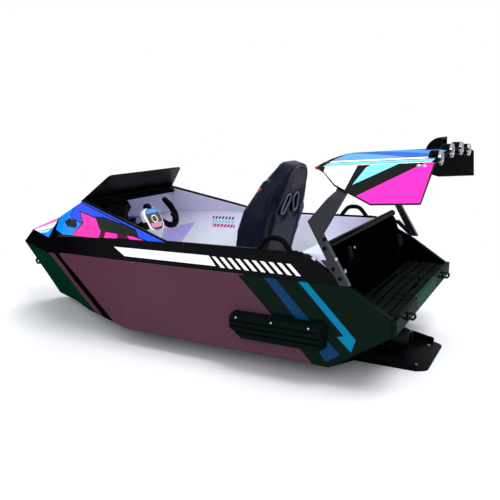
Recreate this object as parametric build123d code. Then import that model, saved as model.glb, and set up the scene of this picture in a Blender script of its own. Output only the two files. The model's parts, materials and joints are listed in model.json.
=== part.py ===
from build123d import *
import math
import os

# Water kart: a one-seat jet boat with a flat-sided hull, an open cockpit and a rear wing.
# Millimetres. X runs forward from the transom, Y to port and Z up from the keel pad.
# Every piece is written with X measured from the middle of the overall length.

os.makedirs("parts", exist_ok=True)

# Hull, parallel body: half widths and heights of the three long edges
CHINE_Y = 545
CHINE_Z = 100
KNUCKLE_Y = 575
KNUCKLE_Z = 497
SHEER_Y = 550
SHEER_Z = 613
PAD_Y = 204
WALL = 30
SHOULDER_X = 1500

# Bow stations: the chine, knuckle and sheer draw in towards the stem tip
STEM_TIP_X = 2963
BEND_X = 1950
BEND_PAD_Y = 150
BEND_CHINE_Y = 385
BEND_KNUCKLE_Y = 562
BEND_SHEER_Y = 540
BEND_SHEER_Z = 590
BOW_X = 2200
BOW_PAD_Y = 90
BOW_PAD_Z = 6
BOW_CHINE_Y = 250
BOW_CHINE_Z = 88
BOW_KNUCKLE_Y = 450
BOW_KNUCKLE_Z = 459
BOW_SHEER_Y = 425
BOW_SHEER_Z = 548

# Stem: foot, tip and top of the raked bow edge
BOW_LENGTH = STEM_TIP_X - BOW_X
STEM_FOOT_X = BOW_X + BOW_LENGTH * 437 / 763
STEM_FOOT_Z = 31
STEM_TIP_Z = 396
STEM_TOP_X = BOW_X + BOW_LENGTH * 654 / 763
STEM_TOP_Z = 492
STEM_Y = 9

# Stern: transom strip, sloping counter under it, and the sheer's fall to the transom
COUNTER_X = 306
TRANSOM_T = 20
TRANSOM_Z = 303
TRANSOM_TOP_Z = 371
COUNTER_T = 24
SHEER_AFT_X = 410
KNUCKLE_AFT_X = 208

# Cockpit: liners, floor, engine space and bulkhead
FLOOR_T = 12
LINER_FLOOR_INSET = 85
LINER_RIM_INSET = 8
LINER_AFT_X = 330
WELL_Z = 355
WELL_T = 10
BULKHEAD_X = 245
BULKHEAD_RAKE = 0.246
BULKHEAD_T = 20
BULKHEAD_TOP_Z = 634
BULKHEAD_TOP_Y = 500
ROLL_R = 18
DECK_Z = 430
DECK_X = 800
DECK_T = 12
ENGINE_SIZE = (330, 380, 270)
ENGINE_X = 590

# Hatch in the rear well, with its hinge along the forward edge
HATCH_X = 52
HATCH_LENGTH = 145
HATCH_WIDTH = 420
HATCH_LAP = 14
HATCH_T = 6
HINGE_R = 5
HINGE_PIN_R = 2.5
HINGE_LUG = 14
LID_FRONT_GAP = 4
LID_GRIP = (16, 90, 8)
LID_GRIP_X = 26
SEAT_GAP = 0.3

# Cowl over the legs: screen corners, ridge nose and the tip of each side wedge
SCREEN_X = 1879
SCREEN_Y = 425
SCREEN_Z = 783
SCREEN_TOP_X = 1726
SCREEN_TOP_Y = 340
SCREEN_TOP_Z = 924
SCREEN_T = 8
SCREEN_CORNER_R = 38
RIDGE_X = BOW_X + BOW_LENGTH * 343 / 763
RIDGE_Z = 596
WEDGE_X = 1190
COWL_T = 12
DASH_DEPTH = 42
DASH_DROP = 34

# Seat: a reclined bucket with bolsters on a cushion
SEAT_LENGTH = 372
SEAT_Y = 168
CUSHION_Z = 176
CUSHION_T = 84
CUSHION_FRONT_R = 38
RAIL_WIDTH = 34
RAIL_Y = 130
PAN_T = 6
BACK_X = 930
BACK_LENGTH = 838
BACK_T = 84
BACK_Y = 172
BACK_HEAD_Y = 128
RECLINE = 17.5
BOLSTER_Y = 254
BOLSTER_RISE = 74
SHOULDER_S = BACK_LENGTH - 228
HEAD_CORNER_R = 92
BOLSTER_SET = 13
BOLSTER_EASE = 6
SLOT_LENGTH = 112
SLOT_WIDTH = 46
SLOT_S = SHOULDER_S
SLOT_Y = 62
SLOT_TILT = 24

# Steering: hub centre, tilt of the column and the sizes of the yoke
HUB_X = 1720
HUB_Z = 618
HUB_WIDTH = 156
HUB_HEIGHT = 156
HUB_T = 34
COLUMN_TILT = 25
COLUMN_R = 24
COLUMN_LENGTH = 210
SHAFT_R = 12
STUB_LENGTH = 60
STUB_GAP = 4
HUB_GAP = 6
YOKE_Y = 236
YOKE_RISE = 128
YOKE_DROP = 62
YOKE_BENDS = [(YOKE_Y * 0.55, -YOKE_DROP * 0.9), (YOKE_Y * 0.78, -YOKE_DROP), (YOKE_Y * 0.94, -32),
              (YOKE_Y, 12), (YOKE_Y * 0.95, 66)]
GRIP_R = 21
CONSOLE_X = 1940
CONSOLE_LENGTH = 170
CONSOLE_Y = 60
CONSOLE_TOP_Y = 42
CONSOLE_TOP_Z = 578
PEDAL_X = 2075
PEDAL_Y = 118
PEDAL_SIZE = (14, 90, 150)
PEDAL_FOOT = (60, 45, 26)
PEDAL_LEAN = 22

# Rear frame: struts and wing
STRUT_GAP = 2
STRUT_T = 28
STRUT_OUTLINE = [(263, 899), (207, 893), (312, 719), (191, 506), (235, 506), (377, 772)]
FOOT_OUTLINE = [(215, 512), (245, 515), (300, 600), (330, 600)]
BRACKET_X = (212, 262)
BRACKET_TOP = 14
WING_Y = 474
WING_FRONT_X = 400
WING_AFT_X = -115
WING_Z = 990
WING_TILT = 2.4
WING_CAMBER = 36
WING_T = 12
WING_CANT = 1.13
WING_PLATE_T = 9
# Wing side plate: distance forward of the transom, drop below the wing's edge
WING_OUTLINE = [(400, 0), (345, 25), (275, 77), (95, 148), (-98, 147), (WING_AFT_X, 0)]
SCOOP_X = -52
SCOOP_R = 72
SCOOP_Y = 66
SCOOP_WALL = 8
SCOOP_SINK = 20
LAMP_COUNT = 4
LAMP_PITCH = 233
LAMP_R = 30
LAMP_LENGTH = 52
BEZEL_WIDTH = 5

# Side sponsons
SPONSON_X = 310
SPONSON_LENGTH = 500
SPONSON_Z = 180
SPONSON_HEIGHT = 135
SPONSON_DEPTH = 52
SPONSON_NOSE = 70
GROOVE = 9

# Deck fittings
HANDLE_X = 572
HANDLE_SPAN = 168
HANDLE_RISE = 62
HANDLE_R = 13
HANDLE_FOOT = (50, 26, 8)
HANDLE_Y = 535
BOW_EYE_Z = 250
BOW_EYE_R = 26
BOW_EYE_BORE = 11
BOW_EYE_T = 12
STERN_EYE_Y = 380
STERN_EYE_R = 20
STERN_EYE_BORE = 9
STERN_EYE_T = 10

# Jet drive: ride plate, pump, impeller and steering nozzle
PLATE_AFT_X = -50
PLATE_T = 8
PLATE_CORNER = 42
LIP_T = 6
LIP_HEIGHT = 55
LIP_END = 30
LIP_X = 118
PUMP_Z = 80
PUMP_R = 66
PUMP_BORE = 58
PUMP_X = 182
TUNNEL_GAP = 3
INTAKE_LENGTH = 330
INTAKE_Y = 66
INTAKE_ROOF = 92
INTAKE_FLAT = 30
SHAFT_GAP = 6
SADDLE = (90, 70)
OUTLET_R = 40
OUTLET_BORE = 33
THROAT_LENGTH = 24
OUTLET_X = 124
VANE_COUNT = 7
VANE_T = 4
STATOR_LENGTH = 40
STATOR_HUB_R = 19
VANE_ANGLE = 12
TAIL_R = 6
TAIL_LENGTH = 40
BEARING_DEPTH = 12
BLADE_COUNT = 4
BLADE_T = 4
BLADE_TWIST = 74
BLADE_STEPS = 3
IMPELLER_X = 230
IMPELLER_LENGTH = 46
TIP_GAP = 5.5
DRIVE_R = 10
CONE_LENGTH = 18
SHAFT_REACH = 100
RUN_GAP = 0.3
NOZZLE_R = 61
NOZZLE_WALL = 6
NOZZLE_EXIT_R = 47
NOZZLE_X = 78
PIVOT_X = 140
PIN_R = 5
NOZZLE_COLLAR = 14
NOZZLE_ARM = 23
ARM_SECTION = (26, 8)
BAR_WIDTH = 6
BAR_COUNT = 4
BAR_REACH = 0.84
GRATE_FRONT_GAP = 20
GRATE_AFT_GAP = 8

OVERALL_MID_X = (STEM_TIP_X + WING_AFT_X) / 2


def save(shape, name):
    export_step(Pos(-OVERALL_MID_X, 0, 0) * shape, f"parts/{name}.step")


def mirrored(shape):
    return mirror(shape, about=Plane.XZ)


def both_sides(shape):
    return Compound(children=[shape, mirrored(shape)])


def hull_of(points):
    return ConvexPolyhedron(points)


def lofted(rows):
    return Solid.make_loft([Wire.make_polygon(row) for row in rows], ruled=True)


def along(a, b, share):
    return a + (b - a) * share


def side_y(z):
    """Half width of the flat side panel at a height."""
    return along(CHINE_Y, KNUCKLE_Y, (z - CHINE_Z) / (KNUCKLE_Z - CHINE_Z))


def band_y(z):
    """Half width of the upper band at a height."""
    return along(KNUCKLE_Y, SHEER_Y, (z - KNUCKLE_Z) / (SHEER_Z - KNUCKLE_Z))


def counter_z(x):
    return along(TRANSOM_Z, CHINE_Z, x / COUNTER_X)


def bulkhead_x(z):
    """Aft face of the leaning bulkhead."""
    return BULKHEAD_X + BULKHEAD_RAKE * (z - WELL_Z)


def wing_edge_z(x):
    return WING_Z + (WING_FRONT_X - x) * math.tan(math.radians(WING_TILT))


def wing_plate_point(x, drop):
    return (x, WING_Y + WING_CANT * drop, wing_edge_z(x) - drop)


# Columns: x, pad y, pad z, chine y, chine z, knuckle y, knuckle z, sheer y, sheer z
STATIONS = [
    (SHOULDER_X, PAD_Y, 0, CHINE_Y, CHINE_Z, KNUCKLE_Y, KNUCKLE_Z, SHEER_Y, SHEER_Z),
    (BEND_X, BEND_PAD_Y, 0, BEND_CHINE_Y, CHINE_Z, BEND_KNUCKLE_Y, KNUCKLE_Z,
     BEND_SHEER_Y, BEND_SHEER_Z),
    (BOW_X, BOW_PAD_Y, BOW_PAD_Z, BOW_CHINE_Y, BOW_CHINE_Z, BOW_KNUCKLE_Y, BOW_KNUCKLE_Z,
     BOW_SHEER_Y, BOW_SHEER_Z),
]


def hull_bottom():
    aft = (COUNTER_X, PAD_Y, 0, CHINE_Y, CHINE_Z)
    rows = []
    for x, pad_y, pad_z, chine_y, chine_z in [aft] + [s[:5] for s in STATIONS]:
        port = [(x, pad_y, pad_z), (x, chine_y, chine_z)]
        starboard = [(x, -chine_y, chine_z), (x, -pad_y, pad_z)]
        rows.append(port + starboard)
    shell = lofted(rows)
    front = COUNTER_X + INTAKE_LENGTH
    outline = [(COUNTER_X - 1, -1), (COUNTER_X - 1, INTAKE_ROOF), (COUNTER_X + INTAKE_FLAT, INTAKE_ROOF),
               (front, -1)]
    pocket = hull_of([(x, side * INTAKE_Y, z) for side in (-1, 1) for x, z in outline])
    bore = Rot(0, 90, 0) * Cylinder(DRIVE_R + SHAFT_GAP, INTAKE_LENGTH)
    return shell - pocket - Pos(COUNTER_X + INTAKE_FLAT, 0, PUMP_Z) * bore


def intake_grate():
    front = COUNTER_X + INTAKE_LENGTH - GRATE_FRONT_GAP
    aft = COUNTER_X + GRATE_AFT_GAP
    length = front - aft
    pitch = 2 * INTAKE_Y / (BAR_COUNT + 1)
    mid = (front + aft) / 2
    grate = Pos(aft, 0, BAR_WIDTH / 2) * Box(BAR_WIDTH, 2 * INTAKE_Y, BAR_WIDTH)
    grate += Pos(mid, 0, BAR_WIDTH / 2) * Box(BAR_WIDTH, 2 * INTAKE_Y, BAR_WIDTH)
    for i in range(BAR_COUNT):
        y = pitch * (i + 1) - INTAKE_Y
        bar = Box(length * BAR_REACH, BAR_WIDTH, BAR_WIDTH, align=(Align.MIN, Align.CENTER, Align.MIN))
        grate += Pos(aft, y, 0) * bar
    return grate


def side_panel():
    """Flat lower side to port, its wall curving in at the bow."""
    outline = [(COUNTER_X, CHINE_Z), (TRANSOM_T, counter_z(TRANSOM_T)), (TRANSOM_T, TRANSOM_TOP_Z),
               (KNUCKLE_AFT_X, KNUCKLE_Z), (SHOULDER_X, KNUCKLE_Z), (SHOULDER_X, CHINE_Z)]
    straight = hull_of([(x, side_y(z) - inset, z) for x, z in outline for inset in (0, WALL)])
    rows = []
    for x, _, _, chine_y, chine_z, knuckle_y, knuckle_z, _, _ in STATIONS:
        rows.append([(x, chine_y, chine_z), (x, knuckle_y, knuckle_z),
                     (x, knuckle_y - WALL, knuckle_z), (x, chine_y - WALL, chine_z)])
    return straight + lofted(rows)


def band():
    """Upper band to port, leaning in from the knuckle to the sheer."""
    outline = [(KNUCKLE_AFT_X, KNUCKLE_Z), (SHEER_AFT_X, SHEER_Z), (SHOULDER_X, SHEER_Z),
               (SHOULDER_X, KNUCKLE_Z)]
    straight = hull_of([(x, band_y(z) - inset, z) for x, z in outline for inset in (0, WALL)])
    rows = []
    for x, _, _, _, _, knuckle_y, knuckle_z, sheer_y, sheer_z in STATIONS:
        rows.append([(x, knuckle_y, knuckle_z), (x, sheer_y, sheer_z),
                     (x, sheer_y - WALL, sheer_z), (x, knuckle_y - WALL, knuckle_z)])
    return straight + lofted(rows)


def liner():
    """Cockpit wall to port, from the floor's edge up to the rim."""
    aft = [(LINER_AFT_X, CHINE_Z), (bulkhead_x(KNUCKLE_Z) + BULKHEAD_T, KNUCKLE_Z),
           (bulkhead_x(SHEER_Z) + BULKHEAD_T, SHEER_Z)]
    inner = {CHINE_Z: CHINE_Y - WALL - LINER_FLOOR_INSET, SHEER_Z: SHEER_Y - WALL - LINER_RIM_INSET}
    points = []
    for x, z in aft + [(SHOULDER_X, CHINE_Z), (SHOULDER_X, KNUCKLE_Z), (SHOULDER_X, SHEER_Z)]:
        outer = side_y(z) if z <= KNUCKLE_Z else band_y(z)
        points.append((x, outer - WALL, z))
        if z in inner:
            points.append((x, inner[z], z))
    rows = []
    for x, _, _, chine_y, chine_z, knuckle_y, knuckle_z, sheer_y, sheer_z in STATIONS:
        rows.append([(x, chine_y - WALL, chine_z), (x, knuckle_y - WALL, knuckle_z),
                     (x, sheer_y - WALL, sheer_z), (x, sheer_y - WALL - LINER_RIM_INSET, sheer_z),
                     (x, chine_y - WALL - LINER_FLOOR_INSET, chine_z)])
    return hull_of(points) + lofted(rows)


def liner_inner_y(z):
    low = CHINE_Y - WALL - LINER_FLOOR_INSET
    high = SHEER_Y - WALL - LINER_RIM_INSET
    return along(low, high, (z - CHINE_Z) / (SHEER_Z - CHINE_Z))


def cockpit_floor():
    rows = []
    for x, chine_y, low in [(LINER_AFT_X, CHINE_Y, CHINE_Z)] + [(s[0], s[3], s[4]) for s in STATIONS]:
        y = chine_y - WALL - LINER_FLOOR_INSET
        rows.append([(x, -y, low), (x, y, low), (x, y, low + FLOOR_T), (x, -y, low + FLOOR_T)])
    return lofted(rows)


def bow_block():
    points = []
    for side in (-1, 1):
        points += [(BOW_X, side * BOW_PAD_Y, BOW_PAD_Z), (BOW_X, side * BOW_CHINE_Y, BOW_CHINE_Z),
                   (BOW_X, side * BOW_KNUCKLE_Y, BOW_KNUCKLE_Z), (BOW_X, side * BOW_SHEER_Y, BOW_SHEER_Z),
                   (STEM_FOOT_X, side * STEM_Y, STEM_FOOT_Z), (STEM_TIP_X, side * STEM_Y, STEM_TIP_Z),
                   (STEM_TOP_X, side * STEM_Y, STEM_TOP_Z)]
    return hull_of(points)


def nose_deck():
    points = []
    for side in (-1, 1):
        points += [(BOW_X, side * BOW_SHEER_Y, BOW_SHEER_Z), (RIDGE_X, side * WALL, RIDGE_Z),
                   (STEM_TOP_X, side * STEM_Y, STEM_TOP_Z)]
    return hull_of(points)


def cowl_side():
    """Port flank of the cowl, from the side wedge to the ridge nose."""
    low = [(BEND_X, BEND_SHEER_Y, BEND_SHEER_Z), (BOW_X, BOW_SHEER_Y, BOW_SHEER_Z)]
    screen = (SCREEN_X, SCREEN_Y, SCREEN_Z)
    ridge = (RIDGE_X, WALL, RIDGE_Z)
    wedge = [(WEDGE_X, SHEER_Y, SHEER_Z), (SHOULDER_X, SHEER_Y, SHEER_Z)]

    def walled(points):
        return hull_of([(x, y - inset, z) for x, y, z in points for inset in (0, WALL)])

    aft = walled(wedge + [low[0], screen])
    fore = walled([low[0], low[1], ridge, screen])
    return aft + fore


def cowl_top():
    points = [(RIDGE_X, 0, RIDGE_Z), (RIDGE_X, 0, RIDGE_Z - COWL_T)]
    for side in (-1, 1):
        for drop in (0, COWL_T):
            points.append((SCREEN_X, side * (SCREEN_Y - WALL), SCREEN_Z - drop))
    return hull_of(points)


def dash_beam():
    y = SCREEN_Y - WALL
    points = [(x, side * y, z) for side in (-1, 1) for x, z in
              [(SCREEN_X, SCREEN_Z), (SCREEN_X - DASH_DEPTH, SCREEN_Z - DASH_DROP / 3),
               (SCREEN_X - DASH_DEPTH, SCREEN_Z - DASH_DROP), (SCREEN_X, SCREEN_Z - DASH_DROP)]]
    return hull_of(points)


def windscreen():
    """Raked trapezoid plate with rounded top corners, standing on the cowl's aft edge."""
    slope = math.hypot(SCREEN_X - SCREEN_TOP_X, SCREEN_TOP_Z - SCREEN_Z)
    plane = Plane(origin=(SCREEN_X, 0, SCREEN_Z), x_dir=(0, 1, 0),
                  z_dir=(SCREEN_TOP_Z - SCREEN_Z, 0, SCREEN_X - SCREEN_TOP_X))
    corners = [(-SCREEN_Y, 0), (SCREEN_Y, 0), (SCREEN_TOP_Y, slope), (-SCREEN_TOP_Y, slope)]
    outline = Polygon(*corners, align=None)
    outline = fillet(outline.vertices().group_by(Axis.Y)[-1], SCREEN_CORNER_R)
    return plane * extrude(outline, SCREEN_T)


def transom():
    points = []
    for side in (-1, 1):
        for x in (0, TRANSOM_T):
            for z in (counter_z(x), TRANSOM_TOP_Z):
                points.append((x, side * side_y(z), z))
    return hull_of(points)


def counter_panel():
    points = []
    for side in (-1, 1):
        for x in (TRANSOM_T, COUNTER_X):
            for z in (counter_z(x), counter_z(x) + COUNTER_T):
                points.append((x, side * (side_y(z) - WALL), z))
    tunnel = Pos(COUNTER_X, 0, PUMP_Z) * Rot(0, 90, 0) * Cylinder(PUMP_R + TUNNEL_GAP, 2 * COUNTER_X)
    return hull_of(points) - tunnel


def well_floor():
    """Rear well floor with its hatch opening and the two lugs of the hatch hinge."""
    points = []
    for side in (-1, 1):
        for z in (WELL_Z - WELL_T, WELL_Z):
            y = side * (side_y(z) - WALL)
            points += [(TRANSOM_T, y, z), (bulkhead_x(z), y, z)]
    floor = hull_of(points)
    opening = Pos(HATCH_X + HATCH_LENGTH / 2, 0, WELL_Z) * Box(HATCH_LENGTH, HATCH_WIDTH, 4 * WELL_T)
    floor -= opening
    x, z = hatch_axis()
    height = z + HINGE_R - WELL_Z
    for side in (-1, 1):
        lug = Pos(x, side * (HATCH_WIDTH - HINGE_LUG) / 2, WELL_Z) * Box(
            2 * HINGE_R, HINGE_LUG - 2 * SEAT_GAP, height, align=(Align.CENTER, Align.CENTER, Align.MIN))
        lug -= Pos(x, 0, z) * Rot(90, 0, 0) * Cylinder(HINGE_PIN_R + SEAT_GAP, HATCH_WIDTH)
        floor += lug
    return floor


def hatch_axis():
    return HATCH_X + HATCH_LENGTH + HATCH_LAP, WELL_Z + SEAT_GAP + HATCH_T


def hatch_lid():
    x, z = hatch_axis()
    aft = HATCH_X - HATCH_LAP
    width = HATCH_WIDTH + 2 * HATCH_LAP
    front = x - HINGE_R - LID_FRONT_GAP
    lid = Pos((aft + front) / 2, 0, z - HATCH_T / 2) * Box(front - aft, width, HATCH_T)
    lid = fillet(lid.edges().filter_by(Axis.Z), HATCH_LAP)
    barrel = HATCH_WIDTH - 2 * (HINGE_LUG + HINGE_R)
    leaf = Pos((front + x) / 2, 0, z - HATCH_T / 2) * Box(x - front, barrel, HATCH_T)
    lid += leaf
    lid += Pos(x, 0, z) * Rot(90, 0, 0) * Cylinder(HINGE_R, barrel)
    lid += Pos(x, 0, z) * Rot(90, 0, 0) * Cylinder(HINGE_PIN_R, HATCH_WIDTH)
    return lid + Pos(aft + LID_GRIP_X, 0, z) * Box(*LID_GRIP)


def aft_bulkhead():
    points = []
    heights = [(WELL_Z, side_y(WELL_Z) - WALL), (KNUCKLE_Z, KNUCKLE_Y - WALL), (SHEER_Z, SHEER_Y - WALL),
               (BULKHEAD_TOP_Z, BULKHEAD_TOP_Y)]
    for z, y in heights:
        for side in (-1, 1):
            points += [(bulkhead_x(z), side * y, z), (bulkhead_x(z) + BULKHEAD_T, side * y, z)]
    return hull_of(points)


def coaming_roll():
    x = bulkhead_x(BULKHEAD_TOP_Z) + BULKHEAD_T / 2
    return Pos(x, 0, BULKHEAD_TOP_Z + ROLL_R) * Rot(90, 0, 0) * Cylinder(ROLL_R, 2 * BULKHEAD_TOP_Y)


def engine_deck():
    points = []
    for z in (DECK_Z - DECK_T, DECK_Z):
        y = liner_inner_y(z) - SEAT_GAP
        for side in (-1, 1):
            points += [(bulkhead_x(z) + BULKHEAD_T + SEAT_GAP, side * y, z), (DECK_X, side * y, z)]
    return hull_of(points)


def engine_riser():
    points = []
    for z in (CHINE_Z + FLOOR_T, DECK_Z - DECK_T):
        y = liner_inner_y(z) - SEAT_GAP
        for side in (-1, 1):
            points += [(DECK_X - DECK_T, side * y, z), (DECK_X, side * y, z)]
    return hull_of(points)


def engine_block():
    block = Box(*ENGINE_SIZE, align=(Align.CENTER, Align.CENTER, Align.MIN))
    return Pos(ENGINE_X, 0, CHINE_Z + FLOOR_T) * block


def seat_x():
    """Aft edge of the cushion, just ahead of the reclined back."""
    return BACK_X + BACK_T / math.cos(math.radians(RECLINE)) + SEAT_GAP


def seat_rails():
    """Pan under the seat, on two rails."""
    low = CHINE_Z + FLOOR_T
    length = seat_x() + SEAT_LENGTH - BACK_X - 2 * PAN_T
    start = (Align.MIN, Align.CENTER, Align.MIN)
    pan = Pos(BACK_X, 0, CUSHION_Z - PAN_T) * Box(length, 2 * SEAT_Y, PAN_T, align=start)
    rail = Box(length, RAIL_WIDTH, CUSHION_Z - PAN_T - low, align=start)
    for side in (-1, 1):
        pan += Pos(BACK_X, side * RAIL_Y, low) * rail
    return pan


def seat_cushion():
    block = Box(SEAT_LENGTH, 2 * SEAT_Y, CUSHION_T, align=(Align.MIN, Align.CENTER, Align.MIN))
    pad = Pos(seat_x(), 0, CUSHION_Z + SEAT_GAP) * block
    front = pad.edges().filter_by(Axis.Y).group_by(Axis.X)[-1]
    return fillet(front, CUSHION_FRONT_R)


def seat_frame():
    """Location of the seat back: X out of its rear face, Z up along it."""
    return Pos(BACK_X, 0, CUSHION_Z + SEAT_GAP) * Rot(0, -RECLINE, 0)


def back_outline():
    port = [(BACK_Y, 0), (BACK_Y, SHOULDER_S), (BACK_HEAD_Y, BACK_LENGTH)]
    outline = Polygon(*port, *[(-y, s) for y, s in reversed(port)], align=None)
    return fillet(outline.vertices().group_by(Axis.Y)[-1], HEAD_CORNER_R)


def seat_back():
    """Slab with a rounded head and two slanted slots."""
    outline = back_outline()
    for side in (-1, 1):
        slot = SlotOverall(SLOT_LENGTH, SLOT_WIDTH, 90)
        outline -= Pos(side * SLOT_Y, SLOT_S) * Rot(0, 0, side * SLOT_TILT) * slot
    slab = Plane.YZ * extrude(outline, BACK_T)
    return seat_frame() * slab


def seat_back_bolsters():
    """Side wings of the back, each standing forward of it from the hips to above the shoulder."""
    top = along(SHOULDER_S, BACK_LENGTH, 0.55)
    rows = [(70, 0.82, 0.5), (SHOULDER_S * 0.7, 1, 1), (SHOULDER_S * 0.9, 0.97, 0.92), (top, 0.18, 0.3)]
    points = []
    for s, out, reach in rows:
        for y in (along(BACK_Y, BOLSTER_Y, out), BACK_HEAD_Y):
            points += [(BOLSTER_SET, y, s), (BACK_T + BOLSTER_RISE * reach, y, s)]
    clear = Plane.YZ * extrude(offset(back_outline(), SEAT_GAP), 2 * (BACK_T + BOLSTER_RISE), both=True)
    return seat_frame() * both_sides(hull_of(points) - clear)


def seat_base_bolsters():
    """Side rolls of the cushion, higher towards the hips and clear of the reclined back."""
    points = []
    rows = [(BACK_X, BOLSTER_RISE), (seat_x() + SEAT_LENGTH * 0.6, BOLSTER_RISE * 0.8),
            (seat_x() + SEAT_LENGTH, 0)]
    for x, rise in rows:
        for y in (SEAT_Y + SEAT_GAP, BOLSTER_Y):
            points += [(x, y, CUSHION_Z + SEAT_GAP), (x, y, CUSHION_Z + CUSHION_T + rise)]
    reach = BACK_T + BOLSTER_RISE + BOLSTER_EASE
    behind = seat_frame() * Box(2 * reach, 4 * BOLSTER_Y, 4 * BACK_LENGTH)
    return both_sides(hull_of(points) - behind)


def steering_frame():
    """Location of the hub: Z towards the driver along the column, Y up its face."""
    return Pos(HUB_X, 0, HUB_Z) * Rot(0, -(90 - COLUMN_TILT), 0) * Rot(0, 0, -90)


def hub():
    shell = Box(HUB_WIDTH, HUB_HEIGHT, HUB_T)
    shell = fillet(shell.edges().filter_by(Axis.Z), HUB_WIDTH * 0.3)
    shell = chamfer(shell.faces().sort_by(Axis.Z)[-1].edges(), HUB_T * 0.22)
    stub = Cylinder(SHAFT_R, STUB_LENGTH, align=(Align.CENTER, Align.CENTER, Align.MAX))
    return steering_frame() * (shell + Pos(0, 0, -HUB_T / 2) * stub)


def yoke():
    """Two upright grips bent up from the sides of the hub."""
    inner = HUB_WIDTH / 2
    root = -YOKE_DROP * 0.5
    path = Polyline((inner, root), (inner + GRIP_R, root), *YOKE_BENDS, (YOKE_Y * 0.78, YOKE_RISE))
    grip = sweep(Plane(path @ 0, z_dir=(1, 0, 0)) * Circle(GRIP_R), path=path, transition=Transition.RIGHT)
    return steering_frame() * Compound(children=[grip, mirror(grip, about=Plane.YZ)])


def steering_column():
    top = (Align.CENTER, Align.CENTER, Align.MAX)
    tube = Pos(0, 0, -HUB_T / 2 - HUB_GAP) * Cylinder(COLUMN_R, COLUMN_LENGTH, align=top)
    tube -= Pos(0, 0, -HUB_T / 2) * Cylinder(SHAFT_R + RUN_GAP, STUB_LENGTH + STUB_GAP, align=top)
    return steering_frame() * tube


def steering_console():
    """Tapered post under the column, saddled to it."""
    low = CHINE_Z + FLOOR_T
    foot = [(CONSOLE_X + end * CONSOLE_LENGTH / 2, CONSOLE_Y, low) for end in (-1, 1)]
    head = [(CONSOLE_X - share * CONSOLE_LENGTH, CONSOLE_TOP_Y, CONSOLE_TOP_Z) for share in (0.35, 0.1)]
    post = hull_of([(x, side * y, z) for side in (-1, 1) for x, y, z in foot + head])
    tube = Pos(0, 0, -HUB_T / 2) * Cylinder(COLUMN_R, 2 * (COLUMN_LENGTH + HUB_GAP))
    return post - steering_frame() * tube


def pedals():
    low = floor_z(PEDAL_X - PEDAL_FOOT[0] / 2) + FLOOR_T
    stood = (Align.CENTER, Align.CENTER, Align.MIN)
    plate = Pos(PEDAL_X, PEDAL_Y, low + 10) * Rot(0, PEDAL_LEAN, 0) * Box(*PEDAL_SIZE, align=stood)
    return both_sides(plate + Pos(PEDAL_X, PEDAL_Y, low) * Box(*PEDAL_FOOT, align=stood))


def floor_z(x):
    return along(CHINE_Z, BOW_CHINE_Z, (x - BEND_X) / (BOW_X - BEND_X))


def strut():
    y = KNUCKLE_Y + STRUT_GAP
    wire = Wire.make_polygon([(x, y, z) for x, z in STRUT_OUTLINE])
    plate = extrude(Face(wire), STRUT_T, dir=(0, 1, 0))
    return plate + wing_bracket() - wing_side_blank()


def wing_bracket():
    """Head of the strut, lying along the inside of the canted wing plate."""
    low = (KNUCKLE_Y + STRUT_GAP + STRUT_T / 2 - WING_Y) / WING_CANT
    points = []
    for drop in (BRACKET_TOP, low):
        for x in BRACKET_X:
            x, y, z = wing_plate_point(x, drop)
            points += [(x, y - WING_PLATE_T, z), (x, y - WING_PLATE_T - STRUT_T, z)]
    return hull_of(points)


def strut_foot():
    """Pad that seats the strut against the band under it."""
    points = []
    for x, z in FOOT_OUTLINE:
        points += [(x, band_y(z), z), (x, KNUCKLE_Y + STRUT_GAP, z)]
    return hull_of(points)


def wing_side_blank():
    """Solid above the canted wing plate's inner face."""
    corners = [(WING_FRONT_X, -WING_Y), (WING_FRONT_X, WING_Y), (WING_AFT_X, WING_Y), (WING_AFT_X, -WING_Y)]
    outline = [wing_plate_point(x, drop) for x, drop in corners]
    wire = Wire.make_polygon([(x, y - WING_PLATE_T, z) for x, y, z in outline])
    return extrude(Face(wire), 2 * WING_Y, dir=(0, 1, 0))


def wing_side():
    wire = Wire.make_polygon([wing_plate_point(x, drop) for x, drop in WING_OUTLINE])
    return extrude(Face(wire), WING_PLATE_T, dir=(0, -1, 0))


def wing_plate(depth):
    """Plate arched across between the canted side plates, of a given depth."""
    edge = WING_Y - WING_PLATE_T
    arc = ThreePointArc((-edge, 0), (0, WING_CAMBER), (edge, 0))
    lower = ThreePointArc((-edge, -depth), (0, WING_CAMBER - depth), (edge, -depth))
    section = make_face([arc, Line(arc @ 1, lower @ 1), lower, Line(arc @ 0, lower @ 0)])
    length = WING_FRONT_X - WING_AFT_X
    plate = extrude(Plane.YZ * section, length)
    return Pos(WING_AFT_X, 0, wing_edge_z(WING_AFT_X)) * Rot(0, WING_TILT, 0) * plate


def wing_top():
    plate = wing_plate(WING_T)
    for y in lamp_places():
        plate -= lamp_place(y) * Cylinder(LAMP_R + SEAT_GAP, 2 * LAMP_LENGTH)
    return plate


def scoop():
    """Quarter-round intake on the wing, open to the rear."""
    start = (Align.MIN, Align.CENTER, Align.MIN)
    round_top = Rot(90, 0, 0) * Cylinder(SCOOP_R, 2 * SCOOP_Y)
    shell = round_top & Box(SCOOP_R, 2 * SCOOP_Y, SCOOP_R, align=start)
    mouth = Box(SCOOP_R / 2, 2 * (SCOOP_Y - SCOOP_WALL), SCOOP_R - 1.5 * SCOOP_WALL, align=start)
    placed = Pos(SCOOP_X, 0, wing_edge_z(SCOOP_X) + WING_CAMBER - SCOOP_SINK) * (shell - mouth)
    return placed - wing_plate(4 * SCOOP_R)


def lamp_places():
    return [(i - (LAMP_COUNT - 1) / 2) * LAMP_PITCH for i in range(LAMP_COUNT)]


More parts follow.
